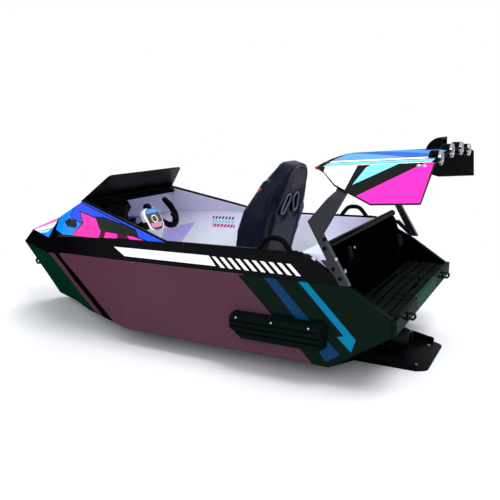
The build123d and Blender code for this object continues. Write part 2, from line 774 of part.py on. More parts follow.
def lamp_place(y):
    """Centre of a lamp's rear face in the trailing edge, with Z pointing forward."""
    arch = WING_CAMBER * (1 - (y / WING_Y) ** 2)
    return Pos(WING_AFT_X, y, wing_edge_z(WING_AFT_X) + arch - WING_T / 2) * Rot(0, 90, 0)


def lamps():
    """Round lamps let into the wing's trailing edge."""
    can = Cylinder(LAMP_R, LAMP_LENGTH, align=(Align.CENTER, Align.CENTER, Align.MIN))
    can -= Cylinder(LAMP_R - BEZEL_WIDTH, 2 * BEZEL_WIDTH)
    return Compound(children=[lamp_place(y) * can for y in lamp_places()])


def sponson():
    """Grooved side float to port, with its ends raked."""
    low, high = SPONSON_Z, SPONSON_Z + SPONSON_HEIGHT
    far = SPONSON_X + SPONSON_LENGTH
    base = [(SPONSON_X, low + 22), (SPONSON_X + 26, low), (far - SPONSON_NOSE, low), (far, low + 58),
            (far, high - 26), (far - 30, high), (SPONSON_X + 12, high), (SPONSON_X, high - 14)]
    mid = SPONSON_X + SPONSON_LENGTH / 2
    face_y = side_y(low) + SPONSON_DEPTH
    face = [(along(x, mid, 0.07), face_y, along(z, (low + high) / 2, 0.16)) for x, z in base]
    block = hull_of([(x, side_y(z), z) for x, z in base] + face)
    for share in (0.3, 0.5, 0.7):
        block -= Pos(mid, face_y, along(low, high, share)) * Box(2 * SPONSON_LENGTH, 2 * GROOVE, GROOVE)
    return block


def grab_handle():
    half = HANDLE_SPAN / 2
    rising = [(-1, 0), (-0.74, 0.46), (-0.5, 0.82), (-0.24, 0.98)]
    bends = rising + [(-x, z) for x, z in reversed(rising)]
    path = Polyline(*[(HANDLE_X + half * x, HANDLE_Y, SHEER_Z + HANDLE_RISE * z) for x, z in bends])
    section = Plane(path @ 0, z_dir=path % 0) * Circle(HANDLE_R)
    tube = sweep(section, path=path, transition=Transition.RIGHT)
    below = Box(2 * HANDLE_SPAN, HANDLE_SPAN, HANDLE_SPAN, align=(Align.CENTER, Align.CENTER, Align.MAX))
    tube -= Pos(HANDLE_X, HANDLE_Y, SHEER_Z) * below
    foot = Box(*HANDLE_FOOT, align=(Align.CENTER, Align.CENTER, Align.MIN))
    for end in (-1, 1):
        tube += Pos(HANDLE_X + end * (half + HANDLE_R / 2), HANDLE_Y, SHEER_Z) * foot
    return tube


def stem_x(z):
    return along(STEM_FOOT_X, STEM_TIP_X, (z - STEM_FOOT_Z) / (STEM_TIP_Z - STEM_FOOT_Z))


def tow_eyes():
    """Bow eye on the stem and two tie-down eyes on the transom, each a bored plate."""
    flat = Rot(90, 0, 0)
    x = stem_x(BOW_EYE_Z)
    bow = Pos(x + BOW_EYE_R * 0.6, 0, BOW_EYE_Z) * flat * Cylinder(BOW_EYE_R, BOW_EYE_T)
    bow += Pos(x, 0, BOW_EYE_Z) * Box(BOW_EYE_R, BOW_EYE_T, 1.7 * BOW_EYE_R)
    bow -= bow_block()
    bow -= Pos(x + BOW_EYE_R * 0.6, 0, BOW_EYE_Z) * flat * Cylinder(BOW_EYE_BORE, 2 * BOW_EYE_T)
    z = (TRANSOM_Z + TRANSOM_TOP_Z) / 2
    eye_x = -STERN_EYE_R * 0.85
    stern = Pos(eye_x, STERN_EYE_Y, z) * flat * Cylinder(STERN_EYE_R, STERN_EYE_T)
    stern += Pos(-3, STERN_EYE_Y, z) * Box(6, 3 * STERN_EYE_T, 2 * STERN_EYE_R)
    stern -= Pos(0, STERN_EYE_Y, z) * Box(200, 100, 100, align=(Align.MIN, Align.CENTER, Align.CENTER))
    stern -= Pos(eye_x, STERN_EYE_Y, z) * flat * Cylinder(STERN_EYE_BORE, 4 * STERN_EYE_T)
    return Compound(children=[bow, stern, mirrored(stern)])


def ride_plate():
    """Tray under the pump, with upright lips along its sides."""
    port = [(COUNTER_X, PAD_Y), (0, PAD_Y), (PLATE_AFT_X, PAD_Y * 0.86)]
    outline = Polygon(*port, *[(x, -y) for x, y in reversed(port)], align=None)
    outline = fillet(outline.vertices().group_by(Axis.X)[0], PLATE_CORNER)
    plate = extrude(outline, PLATE_T)
    profile = [(COUNTER_X, 0), (COUNTER_X, CHINE_Z * 0.8), (LIP_X, LIP_HEIGHT), (0, LIP_END), (0, 0)]
    lip = hull_of([(x, PAD_Y - inset, z) for inset in (0, LIP_T) for x, z in profile])
    return plate + lip + mirrored(lip)


def pump_housing():
    """Bored pump with stator vanes round a bearing hub, a necked outlet and the nozzle's pivot pins."""
    length = COUNTER_X - PUMP_X
    turned = Rot(0, 90, 0)
    start = (Align.CENTER, Align.CENTER, Align.MIN)
    tube = Pos(PUMP_X, 0, PUMP_Z) * turned * Cylinder(PUMP_R, length, align=start)
    neck = Pos(OUTLET_X, 0, PUMP_Z) * turned * Cylinder(OUTLET_R, PUMP_X - OUTLET_X, align=start)
    body = tube + neck
    saddle = Box(*SADDLE, PUMP_Z - PLATE_T, align=(Align.CENTER, Align.CENTER, Align.MIN))
    body += Pos(PUMP_X + length / 2, 0, PLATE_T) * saddle
    pin = Cylinder(PIN_R, NOZZLE_R - OUTLET_R + 2 * PIN_R)
    for side in (-1, 1):
        body += Pos(PIVOT_X, 0, PUMP_Z + side * (NOZZLE_R + OUTLET_R) / 2) * pin
    throat = PUMP_X + THROAT_LENGTH
    body -= Pos(throat, 0, PUMP_Z) * turned * Cylinder(PUMP_BORE, length, align=start)
    body -= Pos(PUMP_X, 0, PUMP_Z) * turned * Cone(OUTLET_BORE, PUMP_BORE, THROAT_LENGTH, align=start)
    body -= Pos(OUTLET_X, 0, PUMP_Z) * turned * Cylinder(OUTLET_BORE, PUMP_X - OUTLET_X, align=start)
    vane = Box(STATOR_LENGTH * 0.8, VANE_T, PUMP_BORE - STATOR_HUB_R + VANE_T)
    vane = Pos(0, 0, (STATOR_HUB_R + PUMP_BORE) / 2) * Rot(0, 0, VANE_ANGLE) * vane
    for i in range(VANE_COUNT):
        body += Pos(PUMP_X + STATOR_LENGTH / 2, 0, PUMP_Z) * Rot(360 / VANE_COUNT * i, 0, 0) * vane
    body += Pos(PUMP_X, 0, PUMP_Z) * turned * Cylinder(STATOR_HUB_R, STATOR_LENGTH, align=start)
    tail = Cone(TAIL_R, STATOR_HUB_R, TAIL_LENGTH, align=start)
    body += Pos(PUMP_X - TAIL_LENGTH, 0, PUMP_Z) * turned * tail
    bearing = Cylinder(DRIVE_R + RUN_GAP, STATOR_LENGTH, align=start)
    return body - Pos(PUMP_X + BEARING_DEPTH, 0, PUMP_Z) * turned * bearing


def impeller():
    """Twisted blades on a hub, turning with the drive shaft."""
    turned = Rot(0, 90, 0)
    start = (Align.CENTER, Align.CENTER, Align.MIN)
    wheel = Cylinder(STATOR_HUB_R, IMPELLER_LENGTH, align=start)
    tip = PUMP_BORE - TIP_GAP
    for i in range(BLADE_COUNT):
        rows = []
        for step in range(BLADE_STEPS + 1):
            turn = 360 / BLADE_COUNT * i + BLADE_TWIST * step / BLADE_STEPS
            z = IMPELLER_LENGTH * (0.06 + 0.88 * step / BLADE_STEPS)
            section = Pos(0, 0, z) * Rot(0, 0, turn)
            root = STATOR_HUB_R - BLADE_T
            half = BLADE_T / 2
            corners = [(root, -half), (tip, -half), (tip, half), (root, half)]
            rows.append([(section * Pos(x, y, 0)).position for x, y in corners])
        wheel += lofted(rows)
    wheel += Pos(0, 0, IMPELLER_LENGTH) * Cone(STATOR_HUB_R, DRIVE_R, CONE_LENGTH, align=start)
    aft = PUMP_X + BEARING_DEPTH + STUB_GAP
    front = COUNTER_X + SHAFT_REACH
    wheel += Pos(0, 0, aft - IMPELLER_X) * Cylinder(DRIVE_R, front - aft, align=start)
    return Pos(IMPELLER_X, 0, PUMP_Z) * turned * wheel


def nozzle():
    """Steering nozzle round the outlet, bored for its pins, with the arm that turns it."""
    turned = Rot(0, 90, 0)
    start = (Align.CENTER, Align.CENTER, Align.MIN)
    length = PIVOT_X + NOZZLE_COLLAR - NOZZLE_X
    taper = length * 0.55
    body = Cone(NOZZLE_EXIT_R, NOZZLE_R, taper, align=start)
    body += Pos(0, 0, taper) * Cylinder(NOZZLE_R, length - taper, align=start)
    body -= Cone(NOZZLE_EXIT_R - NOZZLE_WALL, NOZZLE_R - NOZZLE_WALL, taper, align=start)
    body -= Pos(0, 0, taper) * Cylinder(NOZZLE_R - NOZZLE_WALL, length, align=start)
    body = Pos(NOZZLE_X, 0, PUMP_Z) * turned * body
    root = NOZZLE_R - NOZZLE_WALL
    arm = Box(*ARM_SECTION, NOZZLE_ARM, align=(Align.CENTER, Align.CENTER, Align.MIN))
    body += Pos(PIVOT_X - NOZZLE_COLLAR, -root, PUMP_Z) * Rot(90, 0, 0) * arm
    body -= Pos(PIVOT_X, 0, PUMP_Z) * Cylinder(PIN_R + RUN_GAP, 4 * NOZZLE_R)
    return body


def write_parts():
    single = {
        "hull_bottom": hull_bottom(),
        "intake_grate": intake_grate(),
        "bow_block": bow_block(),
        "transom": transom(),
        "counter_panel": counter_panel(),
        "well_floor": well_floor(),
        "hatch_lid": hatch_lid(),
        "aft_bulkhead": aft_bulkhead(),
        "coaming_roll": coaming_roll(),
        "cockpit_floor": cockpit_floor(),
        "engine_deck": engine_deck(),
        "engine_riser": engine_riser(),
        "engine_block": engine_block(),
        "nose_deck": nose_deck(),
        "cowl_top": cowl_top() - nose_deck(),
        "dash_beam": dash_beam(),
        "windscreen": windscreen(),
        "seat_rails": seat_rails(),
        "seat_cushion": seat_cushion(),
        "seat_back": seat_back(),
        "seat_base_bolsters": seat_base_bolsters(),
        "seat_back_bolsters": seat_back_bolsters(),
        "steering_console": steering_console(),
        "steering_column": steering_column(),
        "yoke": yoke(),
        "hub": hub(),
        "pedals": pedals(),
        "struts": both_sides(strut() + strut_foot()),
        "wing_top": wing_top(),
        "scoop": scoop(),
        "lamps": lamps(),
        "grab_handles": both_sides(grab_handle()),
        "sponsons": both_sides(sponson()),
        "tow_eyes": tow_eyes(),
        "ride_plate": ride_plate(),
        "pump_housing": pump_housing(),
        "impeller": impeller(),
        "nozzle": nozzle(),
    }
    for name, shape in single.items():
        save(shape, name)
    paired = {
        "side_panel": side_panel(),
        "band": band(),
        "liner": liner(),
        "cowl": cowl_side() - nose_deck() - band() - liner(),
        "wing_side": wing_side(),
    }
    for name, shape in paired.items():
        save(shape, f"{name}_port")
        save(mirrored(shape), f"{name}_starboard")


write_parts()
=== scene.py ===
import bmesh
import bpy
import json
from math import copysign, cos, hypot, radians, sin, sqrt, tan, tau
from mathutils import Matrix, Vector
from mathutils.bvhtree import BVHTree

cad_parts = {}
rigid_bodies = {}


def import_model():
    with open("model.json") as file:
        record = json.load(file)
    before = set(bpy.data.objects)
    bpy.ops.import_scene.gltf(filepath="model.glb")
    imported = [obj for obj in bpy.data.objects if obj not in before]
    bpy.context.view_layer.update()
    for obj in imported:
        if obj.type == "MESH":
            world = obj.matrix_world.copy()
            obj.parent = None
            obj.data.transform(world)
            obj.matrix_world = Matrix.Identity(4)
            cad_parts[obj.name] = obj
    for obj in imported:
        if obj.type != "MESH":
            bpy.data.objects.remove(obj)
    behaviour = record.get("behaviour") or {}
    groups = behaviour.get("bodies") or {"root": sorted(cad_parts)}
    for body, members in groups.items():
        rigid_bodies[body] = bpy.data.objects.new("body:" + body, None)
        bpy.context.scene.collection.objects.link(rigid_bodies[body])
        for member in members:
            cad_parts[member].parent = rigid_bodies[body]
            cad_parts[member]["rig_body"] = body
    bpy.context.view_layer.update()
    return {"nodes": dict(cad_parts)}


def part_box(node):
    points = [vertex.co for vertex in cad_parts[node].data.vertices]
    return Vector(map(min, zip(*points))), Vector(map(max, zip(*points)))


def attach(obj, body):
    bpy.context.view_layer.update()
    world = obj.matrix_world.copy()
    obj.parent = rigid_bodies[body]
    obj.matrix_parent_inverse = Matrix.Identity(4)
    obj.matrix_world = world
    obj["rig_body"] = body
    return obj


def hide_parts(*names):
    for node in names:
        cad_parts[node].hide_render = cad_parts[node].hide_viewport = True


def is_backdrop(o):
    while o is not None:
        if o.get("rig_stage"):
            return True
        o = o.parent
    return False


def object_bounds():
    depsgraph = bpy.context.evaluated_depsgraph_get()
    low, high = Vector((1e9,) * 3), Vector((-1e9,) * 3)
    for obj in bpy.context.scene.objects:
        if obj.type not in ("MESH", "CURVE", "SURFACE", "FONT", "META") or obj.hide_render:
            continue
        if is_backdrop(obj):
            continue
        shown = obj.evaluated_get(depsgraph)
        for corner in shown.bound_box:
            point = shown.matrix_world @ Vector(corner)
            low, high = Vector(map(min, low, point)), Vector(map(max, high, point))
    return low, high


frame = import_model()
NODES = frame["nodes"]
SCENE = bpy.context.scene

# Distances in metres. Layouts on the boat are written from the transom, which lies MID aft of the origin.
MID = 1.424
UP = Vector((0, 0, 1))
AFT = Vector((-1, 0, 0))
SIDES = (("port", 1), ("starboard", -1))

# Heights of the bottom's edge, the band's foot, the cockpit floor, its gripped face and the well's floor
CHINE_Z, BAND_Z, FLOOR_Z, GRIP_Z, WELL_Z = 0.080, 0.498, 0.118, 0.1135, 0.355
COAT_ROUGHNESS = 0.08
CREASE_ANGLE, BEVEL_ANGLE = 0.6, 0.5
COLUMN_LEAN = radians(25)
LEAN_SIN, LEAN_COS = sin(COLUMN_LEAN), cos(COLUMN_LEAN)


def at(x, y, z):
    return Vector((x - MID, y, z))


HUB = at(1.720, 0, 0.618)


def rgb(code):
    """Linear colour of a web colour such as ff35b0."""
    parts = [int(code[i:i + 2], 16) / 255 for i in (0, 2, 4)]
    return tuple(p / 12.92 if p < 0.04 else ((p + 0.055) / 1.055) ** 2.4 for p in parts) + (1,)


class Signal:
    """A shader output that takes part in sums and comparisons."""

    def __init__(self, look, socket):
        self.look = look
        self.socket = socket

    def sum(self, operation, first, second):
        return self.look.node("Math", {"operation": operation}, {0: first, 1: second})

    def __add__(self, other):
        return self.sum("ADD", self, other)

    def __radd__(self, other):
        return self.sum("ADD", other, self)

    def __sub__(self, other):
        return self.sum("SUBTRACT", self, other)

    def __rsub__(self, other):
        return self.sum("SUBTRACT", other, self)

    def __mul__(self, other):
        return self.sum("MULTIPLY", self, other)

    def __rmul__(self, other):
        return self.sum("MULTIPLY", other, self)

    def __truediv__(self, other):
        return self.sum("DIVIDE", self, other)

    def __gt__(self, other):
        return self.sum("GREATER_THAN", self, other)

    def __lt__(self, other):
        return self.sum("LESS_THAN", self, other)

    def __or__(self, other):
        return self.sum("MAXIMUM", self, other)

    def __and__(self, other):
        return self.sum("MULTIPLY", self, other)

    def between(self, low, high):
        return (self > low) & (self < high)

    def fraction(self):
        return self.sum("FRACT", self, 0)

    def size(self):
        return self.sum("ABSOLUTE", self, 0)


class Nodes:
    """A node tree, filled by one method."""

    def __init__(self, tree):
        self.tree = tree
        tree.nodes.clear()

    def node(self, kind, settings, inputs, out=0):
        made = self.tree.nodes.new("ShaderNode" + kind)
        for key, value in settings.items():
            setattr(made, key, value)
        for key, value in inputs.items():
            if isinstance(value, Signal):
                self.tree.links.new(value.socket, made.inputs[key])
            else:
                made.inputs[key].default_value = value
        return Signal(self, made.outputs[out]) if made.outputs else None


class Look(Nodes):
    """A node material on object coordinates."""

    def __init__(self, name):
        self.material = bpy.data.materials.new(name)
        self.material.use_nodes = True
        super().__init__(self.material.node_tree)
        self.place = self.node("TexCoord", {}, {}, "Object")
        self.x = self.along((1, 0, 0)) + MID
        self.y = self.along((0, 1, 0))
        self.z = self.along((0, 0, 1))

    def along(self, direction):
        return self.node("VectorMath", {"operation": "DOT_PRODUCT"}, {0: self.place, 1: direction}, "Value")

    def left_of(self, start, end, out=0.0):
        """1 left of the line from start to end, both (x, z) from the transom, moved out by a margin."""
        run, rise = end[0] - start[0], end[1] - start[1]
        length = hypot(run, rise)
        normal = (-rise / length, 0, run / length)
        level = normal[0] * (start[0] - MID) + normal[2] * start[1]
        return self.along(normal) > level - out

    def area(self, points, out=0.0):
        """1 inside a convex outline of (x, z) points, whichever way round it runs, grown by a margin."""
        turn = sum(a[0] * b[1] - b[0] * a[1] for a, b in zip(points, points[1:] + points[:1]))
        points = points if turn > 0 else points[::-1]
        mask = None
        for start, end in zip(points, points[1:] + points[:1]):
            edge = self.left_of(start, end, out)
            mask = edge if mask is None else mask & edge
        return mask

    def noise(self, scale, detail=3, stretch=(1, 1, 1)):
        place = self.node("Mapping", {}, {"Vector": self.place, "Scale": stretch})
        return self.node("TexNoise", {}, {"Vector": place, "Scale": scale, "Detail": detail}, "Fac")

    def cells(self, scale, randomness=1.0):
        inputs = {"Vector": self.place, "Scale": scale, "Randomness": randomness}
        return self.node("TexVoronoi", {"feature": "F1"}, inputs, "Distance")

    def ranged(self, value, low, high, start=0.0, end=1.0):
        return self.node("MapRange", {}, {0: value, 1: low, 2: high, 3: start, 4: end})

    def uneven(self, low, high, scale, detail=3):
        """A value that wanders between two in soft patches."""
        return self.ranged(self.noise(scale, detail), 0.3, 0.7, low, high)

    def mix(self, share, first, second):
        return self.node("Mix", {"data_type": "RGBA"}, {0: share, 6: first, 7: second}, 2)

    def paint(self, base, *layers):
        """Base colour with each (mask, colour) laid over it in turn."""
        for mask, colour in layers:
            base = self.mix(mask, base, colour)
        return base

    def shaded(self, colour, share=0.12, scale=3.0):
        """The colour, a little darker and lighter in soft patches."""
        patches = self.uneven(1 - share, 1 + share, scale)
        return self.node("HueSaturation", {}, {"Value": patches, "Color": colour})

    def finish(self, colour, roughness, metallic=0.0, coat=0.0, height=None, depth=0.0004, spec=0.5,
               extra=None):
        """Surface with the colour and shine. A height makes a bump of the given depth."""
        inputs = {"Base Color": colour, "Roughness": roughness, "Metallic": metallic, "Coat Weight": coat,
                  "Coat Roughness": COAT_ROUGHNESS, "Specular IOR Level": spec, **(extra or {})}
        if height is not None:
            inputs["Normal"] = self.node("Bump", {}, {"Strength": 1.0, "Distance": depth, "Height": height})
        shader = self.node("BsdfPrincipled", {}, inputs)
        self.node("OutputMaterial", {}, {"Surface": shader})
        return self


BLACK = rgb("060609")
INK = rgb("030304")
GREEN = rgb("00120b")
DEEP_GREEN = rgb("043a26")
BOW_GREEN = rgb("042a1b")
MAROON = rgb("50303e")
NAVY = rgb("0a3357")
AZURE = rgb("007094")
WHITE = rgb("f4f4f6")
BLUE = rgb("1c4cf0")
PINK = rgb("f230a6")
PLUM = rgb("3c0a26")
MAGENTA = rgb("e82aa8")
CYAN = rgb("78dde8")
PALE_CYAN = rgb("a6eef6")
SKY = rgb("0a8cff")
# Darker lilac, painted shade for the cockpit's upper wall
SHADED_LILAC = rgb("e6e0ff")
PALE_LILAC = rgb("eff4ff")
# Darker lilac, a painted shadow on the cockpit's lower front
FOOTWELL_SHADOW = rgb("c6bbff")
LABEL_GROUND = rgb("e9e6fb")
LABEL_PINK = rgb("c8248f")
SOOT = rgb("0a1814")
ROSE = rgb("ff7cc6")
GREY_LINE = rgb("6a6f86")
WING_BLUE = rgb("2c5fb4")
WING_MID_BLUE = rgb("4a86d0")
WING_PALE_BLUE = rgb("5c9ad8")
RED = rgb("a8323c")
WELL_BLACK = rgb("030305")
WELL_FLOOR = rgb("1a1f1b")
SCORE_BLACK = rgb("020303")
GLASS_BLACK = rgb("10101c")
LIT_BLUE = rgb("3b86ea")
TICK_GREEN = rgb("a9c97a")
BAR_PINK = rgb("ff8fc8")


def gloss(look, colour, roughness=0.36, coat=0.0, spec=0.1):
    """Sprayed or printed shell: broad soft waviness, hair scratches and uneven shine."""
    scratches = look.ranged(look.noise(140, 2, (1, 1, 14)), 0.62, 0.75)
    waves = look.noise(5, 1) - scratches * 0.03
    shine = look.uneven(roughness - 0.03, roughness + 0.05, 3, 2) + scratches * 0.04
    body = look.shaded(colour, 0.07, 1.4)
    return look.finish(body, shine, coat=coat, height=waves, depth=0.0006, spec=spec)


def moulded(look, colour, roughness=0.5, grain=1500, spec=0.02):
    """Fine-textured plastic."""
    skin = look.noise(grain, 2) + look.cells(grain * 0.6) * 0.6
    shine = look.uneven(roughness - 0.08, roughness + 0.08, 9, 4)
    return look.finish(look.shaded(colour), shine, height=skin, depth=0.0002, spec=spec)


def metal(look, colour, roughness=0.3, stretch=(1, 1, 30)):
    """Worked metal with fine drawn lines."""
    lines = look.noise(260, 3, stretch)
    shine = look.uneven(roughness - 0.06, roughness + 0.1, 14, 4)
    return look.finish(look.shaded(colour, 0.2), shine, 1.0, height=lines, depth=0.00008)


def hull_look():
    """Very dark green shell. Each side has a maroon field, a thin stripe before it and a navy one and an
    arrow behind it."""
    look = Look("hull_paint")
    field = look.area([(1.985, BAND_Z), (1.913, 0.381), (1.845, 0.277), (1.756, 0.181), (1.620, CHINE_Z),
                       (0.36, CHINE_Z), (0.583, 0.317), (0.748, BAND_Z)])
    gap = look.area([(2.077, BAND_Z), (2.047, 0.455), (1.915, 0.266), (1.840, 0.168), (1.750, CHINE_Z),
                     (1.45, CHINE_Z), (1.45, BAND_Z)])
    stripe = look.area([(2.193, BAND_Z), (2.149, 0.441), (2.075, 0.345), (1.909, 0.163), (1.830, CHINE_Z),
                        (1.45, CHINE_Z), (1.45, BAND_Z)])
    navy = look.area([(0.612, BAND_Z), (0.553, BAND_Z), (0.323, 0.242), (0.399, 0.242)])
    foot = look.area([(0.308, 0.230), (0.351, 0.166), (0.319, 0.125), (0.251, 0.172)])
    shaft = look.area([(0.438, 0.495), (0.394, 0.495), (0.177, 0.256), (0.232, 0.266)])
    head = look.area([(0.264, 0.256), (0.232, 0.266), (0.177, 0.256), (0.200, 0.193)])
    side = look.y.size() > 0.2
    upper = look.left_of((2.20, 0.459), (2.963, 0.396)) & (look.x > 2.199)
    paint = look.paint(GREEN, (look.x > 1.5, BOW_GREEN), (stripe, MAROON), (gap, INK), (field, MAROON),
                       (navy | foot, NAVY), (shaft | head, AZURE))
    whole = look.paint(BOW_GREEN, (look.x < 0.0215, DEEP_GREEN), (side, paint), (upper, BLACK))
    return gloss(look, whole, 0.3, look.ranged(look.x, 1.2, 1.7, 0.1, 0), 0.0)


def band_look():
    """Black band with a long white bar and ten slanted dashes."""
    look = Look("band_black")
    bar = look.area([(1.532, 0.567), (0.919, 0.569), (0.875, 0.523), (1.452, 0.524)])
    run = (look.x - 1.17 * look.z + (1.17 * 0.545 - 0.875)) * (-1 / 0.0441)
    dashes = (run.fraction() < 0.5) & run.between(0, 9.6)
    dashes = dashes & look.z.between(0.519, 0.567)
    outer = look.y.size() > 0.535
    return gloss(look, look.paint(BLACK, ((bar | dashes) & outer, WHITE)), 0.34,
                 look.ranged(look.x, 1.4, 1.9, 0.12, 0), 0.0)


def cowl_look():
    """Blue flank with a pointed pink field under a dark one, and a light blue front with a dark lozenge."""
    look = Look("cowl_print")
    pink = [[(1.862, 0.725), (1.724, 0.700), (1.655, 0.639), (1.809, 0.669)],
            [(1.809, 0.669), (1.655, 0.639), (1.620, 0.590), (1.885, 0.590)],
            [(1.660, 0.640), (1.406, 0.626), (1.320, 0.612), (1.320, 0.590), (1.660, 0.590)]]
    dark = [(1.724, 0.704), (1.671, 0.706), (1.411, 0.657), (1.380, 0.628), (1.655, 0.641)]
    lozenge = [(2.033, 0.659), (1.963, 0.687), (1.875, 0.681), (1.854, 0.655), (1.861, 0.642),
               (1.939, 0.646)]
    line = look.area([(1.900, 0.785), (1.411, 0.661), (1.411, 0.656), (1.900, 0.778)])
    bars = look.area([(1.652, 0.650), (1.613, 0.650), (1.613, 0.590), (1.652, 0.590)])
    bars = bars | look.area([(1.525, 0.634), (1.455, 0.630), (1.400, 0.596), (1.500, 0.596)])

    def front(out):
        upper = look.left_of((2.086, 0.719), (1.823, 0.668), out)
        return upper & look.left_of((1.823, 0.668), (1.877, 0.602), out)

    def field(out):
        mask = look.area(pink[0], out)
        for part in pink[1:]:
            mask = mask | look.area(part, out)
        return mask

    edge = 0.005
    paint = look.paint(BLUE, (field(edge), INK), (look.area(dark, edge), INK), (front(edge), INK),
                       (front(0), SKY), (field(0), PINK), (look.area(dark), SOOT), (line, INK),
                       (bars, PLUM), (look.area(lozenge), INK), (look.z < 0.603, BLACK))
    return gloss(look, paint, 0.3, look.ranged(look.x, 1.9, 2.05, 0.3, 0), 0.0)


def nose_look():
    """Stripes that run together at the stem. Each reaches out to its share of the width."""
    look = Look("nose_print")
    fan = look.y.size() / (3.02 - look.x)
    edge = 0.0
    layers = []
    for reach, colour in ((0.11, PINK), (0.125, INK), (0.19, ROSE), (0.205, INK), (0.29, WHITE),
                          (0.30, GREY_LINE), (0.37, WHITE), (0.385, INK), (0.44, PALE_CYAN), (2.0, SKY)):
        layers.append((fan.between(edge, reach), colour))
        edge = reach
    back = look.x + look.y.size() * 0.27
    layers += [(back < 2.446, INK), (back < 2.440, SKY)]
    return gloss(look, look.paint(WHITE, *layers), 0.3, 0.04, 0.0)


WING_TAIL = -0.115


def wing_point(x, drop):
    """Side plate's (x, z) at a distance below the wing's edge."""
    return x, 0.990 + (0.400 - x) * tan(radians(2.4)) - drop


def wing_side_look():
    """White, cyan and magenta fields with a black bar between them and a black edge all round."""
    look = Look("wing_print")
    bar = look.left_of((0.203, 0.998), (0.226, 0.890))
    cyan = look.area([(0.130, 1.010), (0.163, 0.990), (0.197, 0.925), (0.047, 0.997), (0.0, 1.0196)])
    magenta = look.left_of((0.164, 0.886), (-0.053, 0.999))
    corners = ((0.347, -0.02), (0.347, 0.018), (0.275, 0.070), (0.095, 0.1415), (-0.094, 0.1405),
               (-0.109, -0.02))
    rim = 1 - look.area([wing_point(x, drop) for x, drop in corners])
    paint = look.paint(WHITE, (1 - bar, BLACK), (cyan, CYAN), (magenta, MAGENTA), (rim, INK))
    return gloss(look, paint, 0.3, 0.0, 0.12)


def wing_top_look():
    """Blue fields with stripes along both edges, and red dashes on the front."""
    look = Look("wing_top_print")
    across = look.y.size()
    bend = look.x * 0.8 + across
    middle = bend.between(0.10, 0.22)
    base = look.paint(WING_BLUE, (middle, WING_MID_BLUE), (bend > 0.36, WING_PALE_BLUE))
    stripes = ((0.335, INK), (0.345, PALE_LILAC), (0.385, INK), (0.400, CYAN), (0.440, INK), (0.452, WHITE))
    layers = [(across > start, colour) for start, colour in stripes]
    front = look.x + across * 0.05
    dashes = (look.x > 0.385) & ((look.y * 9).fraction() < 0.4)
    paint = look.paint(base, *layers, (front > 0.385, INK), (dashes, RED), (look.x < -0.095, BLACK))
    return gloss(look, paint, 0.32, 0.05, 0.0)


def lilac_look():
    """Cockpit moulding, darker above its crease with painted shade, with a painted shadow low on its
    starboard front and a plain striped label by the driver's right hand.
    """
    look = Look("cockpit_lilac")
    starboard = look.y < -0.3
    label = look.area([(1.594, 0.494), (1.594, 0.580), (1.413, 0.580), (1.413, 0.494)]) & starboard
    step = ((look.x + look.z * 0.6) * 38).fraction()
    rows = look.paint(LABEL_GROUND, ((step < 0.5) & look.z.between(0.554, 0.574), INK),
                      ((step > 0.4) & look.z.between(0.528, 0.547), CYAN),
                      ((step < 0.7) & look.z.between(0.500, 0.521), LABEL_PINK))
    # Painted shade: the wall turns from pale lilac to a darker lilac upwards from its crease
    upper = look.ranged(look.z, 0.45, 0.62)
    # Painted shadow: a darker lilac patch on the starboard liner's lower front, ahead of the seat
    panel = look.area([(1.735, 0.525), (1.985, 0.475), (1.985, 0.38), (1.825, 0.385)]) & starboard
    paint = look.paint(PALE_LILAC, (upper, SHADED_LILAC), (look.z < FLOOR_Z, PALE_LILAC), (panel, FOOTWELL_SHADOW),
                       (label, rows))
    grip = look.ranged(look.cells(70, 0.0), 0.25, 0.4, 1, 0) * (look.z < GRIP_Z) * 2
    skin = look.noise(9, 2) + look.noise(700, 2) * 0.06 + grip
    shine = look.uneven(0.40, 0.54, 6, 5)
    return look.finish(look.shaded(paint, 0.06), shine, coat=0.08, height=skin, depth=0.0006, spec=0.3)


def leather(look, colour, spec=0.45):
    """Grained synthetic leather."""
    pores = look.cells(520) + look.noise(190, 4) * 0.8
    shine = look.uneven(0.3, 0.42, 11, 5)
    return look.finish(look.shaded(colour, 0.15, 6), shine, height=pores, depth=0.0004, spec=spec)


def well_look():
    """Satin moulding with a scored, tiled floor."""
    look = Look("well_black")
    floor = look.z.between(0.3, 0.363) & (look.x < 0.243)
    across = ((look.x - 0.02) * (1 / 0.045)).fraction() < 0.16
    lengthwise = ((look.y + 0.45) * (1 / 0.30)).fraction() < 0.025
    score = (across | lengthwise) & floor
    paint = look.paint(WELL_BLACK, (floor, WELL_FLOOR), (score, SCORE_BLACK))
    skin = look.noise(600, 2) * 0.3 + look.noise(18, 2) - score * 1.5
    shine = look.uneven(0.38, 0.55, 8, 5)
    return look.finish(look.shaded(paint, 0.2, 9), shine, height=skin, depth=0.0007, spec=0.0)


def display_look():
    """Dark glass with a lit top, ring, ticks and bars."""
    look = Look("display")
    up = look.along((LEAN_SIN, 0, LEAN_COS)) - (HUB.x * LEAN_SIN + HUB.z * LEAN_COS)
    ring = (look.y * look.y + up * up) * 1000
    dial = ring.between(0.42, 0.66)
    ticks = ring.between(0.75, 1.0) & ((look.y * 130).fraction() < 0.4)
    bars = (up < -0.026) & (up > -0.056) & ((look.y * 90).fraction() < 0.6)
    paint = look.paint(GLASS_BLACK, (up > 0.040, LIT_BLUE), (dial, WHITE), (ticks, TICK_GREEN),
                       (bars, BAR_PINK))
    extra = {"Emission Color": paint, "Emission Strength": 0.25}
    return look.finish(paint, look.uneven(0.1, 0.18, 20), coat=0.6, extra=extra)


def lens_look():
    """Clear, slightly smoked glass."""
    look = Look("lens_glass")
    shine = look.uneven(0.03, 0.08, 40)
    return look.finish(rgb("3a3d44"), shine, spec=0.15, extra={"Transmission Weight": 0.9})


def reflector_look():
    """Dark polished bowl with a pebbled face."""
    look = Look("lamp_inside")
    shine = look.uneven(0.1, 0.2, 60)
    return look.finish(rgb("141518"), shine, 1.0, height=look.cells(160), depth=0.001)


